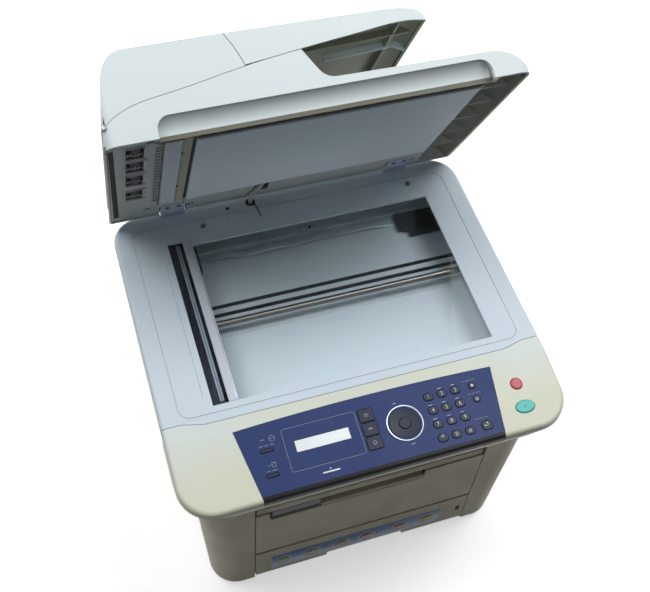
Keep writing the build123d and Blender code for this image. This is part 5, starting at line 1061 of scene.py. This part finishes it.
# Rear: cover screws in wells, contacts in the sockets
REAR_SCREWS = ((-172.0, 60.0), (-172.0, 232.0), (172.0, 168.0), (172.0, 232.0), (0.0, 60.0))
for tag, (rx, rz) in numbered(REAR_SCREWS):
    well = ring_plate(ellipse_outline(5.4, 5.4), ellipse_outline(4.2, 4.2), -0.4, 0.5)
    solid("rear_screw_well_" + tag, *well, rear(rx, rz), casing, "base", "casing")
    screw("rear_screw_" + tag, rear(rx, rz, BASE_REAR_Y - 0.2), "base", 3.4, 1.2)
SOCKET_FLOOR_Y = 167.5
PIN_STEP = 1.05
for name, sx, sz, count in (("phone_a", 149.0, 123.0, 4), ("phone_b", 149.0, 138.0, 4),
                            ("network", 168.0, 125.0, 8)):
    pin = prism(rounded_outline(0.45, 4.2, 0.2, 2), 0.0, 5.0, 0.1)
    pins = joined([shifted(pin, (i - (count - 1) / 2) * PIN_STEP, 1.2) for i in range(count)])
    solid(name + "_contacts", *pins, rear(sx, sz, SOCKET_FLOOR_Y), brass, "base", "steel")
solid("usb_tongue", *prism(rounded_outline(6.0, 3.2, 0.5), 0.0, 7.0, 0.3), rear(156.0, 105.5, SOCKET_FLOOR_Y),
      plate_white, "base", "mat_white")
solid("inlet_rim", *ring_plate(rounded_outline(31.0, 24.0, 5.5), rounded_outline(27.4, 20.4, 4.2), -0.4, 0.7),
      rear(158.0, 44.0, 176.5), black, "base", "black")

# Camera: the photograph's own place and lens
CAMERA_AT = (-264.93, -639.43, 1308.06)
CAMERA_TURN = (36.611739, -4.171400, -18.306769)
CAMERA_LENS = 57.9036
CAMERA_SHIFT = (-0.0377899, -0.0474178)
data = bpy.data.cameras.new("camera")
data.sensor_width = 36.0
data.lens = CAMERA_LENS
data.shift_x, data.shift_y = CAMERA_SHIFT
camera = linked("camera", data)
camera.location = at(*CAMERA_AT)
camera.rotation_euler = [math.radians(a) for a in CAMERA_TURN]
bpy.context.scene.camera = camera


# Floor, world and lamps

def seen_ray(s_add):
    path = s_add("LightPath")
    one = s_add("Math", {0: path.outputs["Is Camera Ray"], 1: path.outputs["Is Glossy Ray"]},
                operation="MAXIMUM")
    both = s_add("Math", {0: one.outputs[0], 1: path.outputs["Is Transmission Ray"]},
                 operation="MAXIMUM")
    return both.outputs[0]


FLOOR_SIZE = 8.0
FLOOR_BOUNCE = 0.08
FLOOR_GLOW = 0.56
FLOOR_NEAR = 0.55
FLOOR_FAR = 1.4
WORLD_LIGHT = 0.05
s = Shader("floor_white")
seen = seen_ray(s.add)
dull = s.add("BsdfDiffuse", {"Color": (FLOOR_BOUNCE, FLOOR_BOUNCE, FLOOR_BOUNCE * 0.96, 1.0)})
white = s.add("BsdfDiffuse", {"Color": (0.86, 0.86, 0.86, 1.0)})
away = s.add("VectorMath", {0: s.coords}, operation="LENGTH").outputs["Value"]
far = s.span(away, FLOOR_NEAR, FLOOR_FAR, 0.0, 1.0, True)
glow_strength = s.span(far, 0.0, 1.0, FLOOR_GLOW, 1.0)
glow = s.add("Emission", {"Color": (1.0, 1.0, 1.0, 1.0), "Strength": glow_strength})
bright = s.add("AddShader", {0: white.outputs[0], 1: glow.outputs[0]})
floor_mix = s.add("MixShader", {0: seen, 1: dull.outputs[0], 2: bright.outputs[0]})
floor_material = s.finish(floor_mix.outputs[0])
floor_mesh = bpy.data.meshes.new("floor")
half = FLOOR_SIZE / 2
floor_mesh.from_pydata([(-half, -half, 0), (half, -half, 0), (half, half, 0), (-half, half, 0)], [],
                       [(0, 1, 2, 3)])
floor_mesh.materials.append(floor_material)
floor = linked("floor", floor_mesh)

world = bpy.data.worlds.new("studio")
bpy.context.scene.world = world
world.use_nodes = True
tree = world.node_tree
tree.nodes.clear()


def world_add(kind, inputs=None, **props):
    return new_node(tree, kind, inputs, **props)


seen = seen_ray(world_add)
soft = world_add("Background", {"Color": (0.93, 0.97, 1.0, 1.0), "Strength": WORLD_LIGHT})
plain = world_add("Background", {"Color": (1.0, 1.0, 1.0, 1.0), "Strength": 1.0})
mixed = world_add("MixShader", {0: seen, 1: soft.outputs[0], 2: plain.outputs[0]})
world_add("OutputWorld", {"Surface": mixed.outputs[0]})


def lamp(name, place, aim, size, power, colour):
    light = bpy.data.lights.new(name, "AREA")
    light.shape = "RECTANGLE"
    light.size, light.size_y = size
    light.energy = power
    light.color = colour
    obj = linked(name, light)
    obj.location = place
    obj.rotation_euler = (Vector(aim) - Vector(place)).to_track_quat("-Z", "Y").to_euler()


lamp("softbox_left", (-0.90, 0.42, 2.22), (0, 0, 0.3), (1.1, 1.4), 24.0, (1.0, 1.0, 1.0))
lamp("softbox_right", (1.18, 0.20, 2.20), (0, 0, 0.3), (1.1, 1.9), 32.0, (1.0, 1.0, 1.0))
lamp("fill_back", (0.2, 2.5, 0.9), (0, 0, 0.3), (1.4, 1.4), 11.0, (1.0, 1.0, 1.0))
lamp("fill_left", (-2.6, -0.1, 0.7), (0, 0, 0.25), (1.2, 1.2), 4.0, (1.0, 1.0, 1.0))
lamp("fill_right", (2.6, 0.1, 0.7), (0, 0, 0.25), (1.2, 1.2), 4.0, (1.0, 1.0, 1.0))

bpy.context.scene.view_settings.view_transform = "Standard"
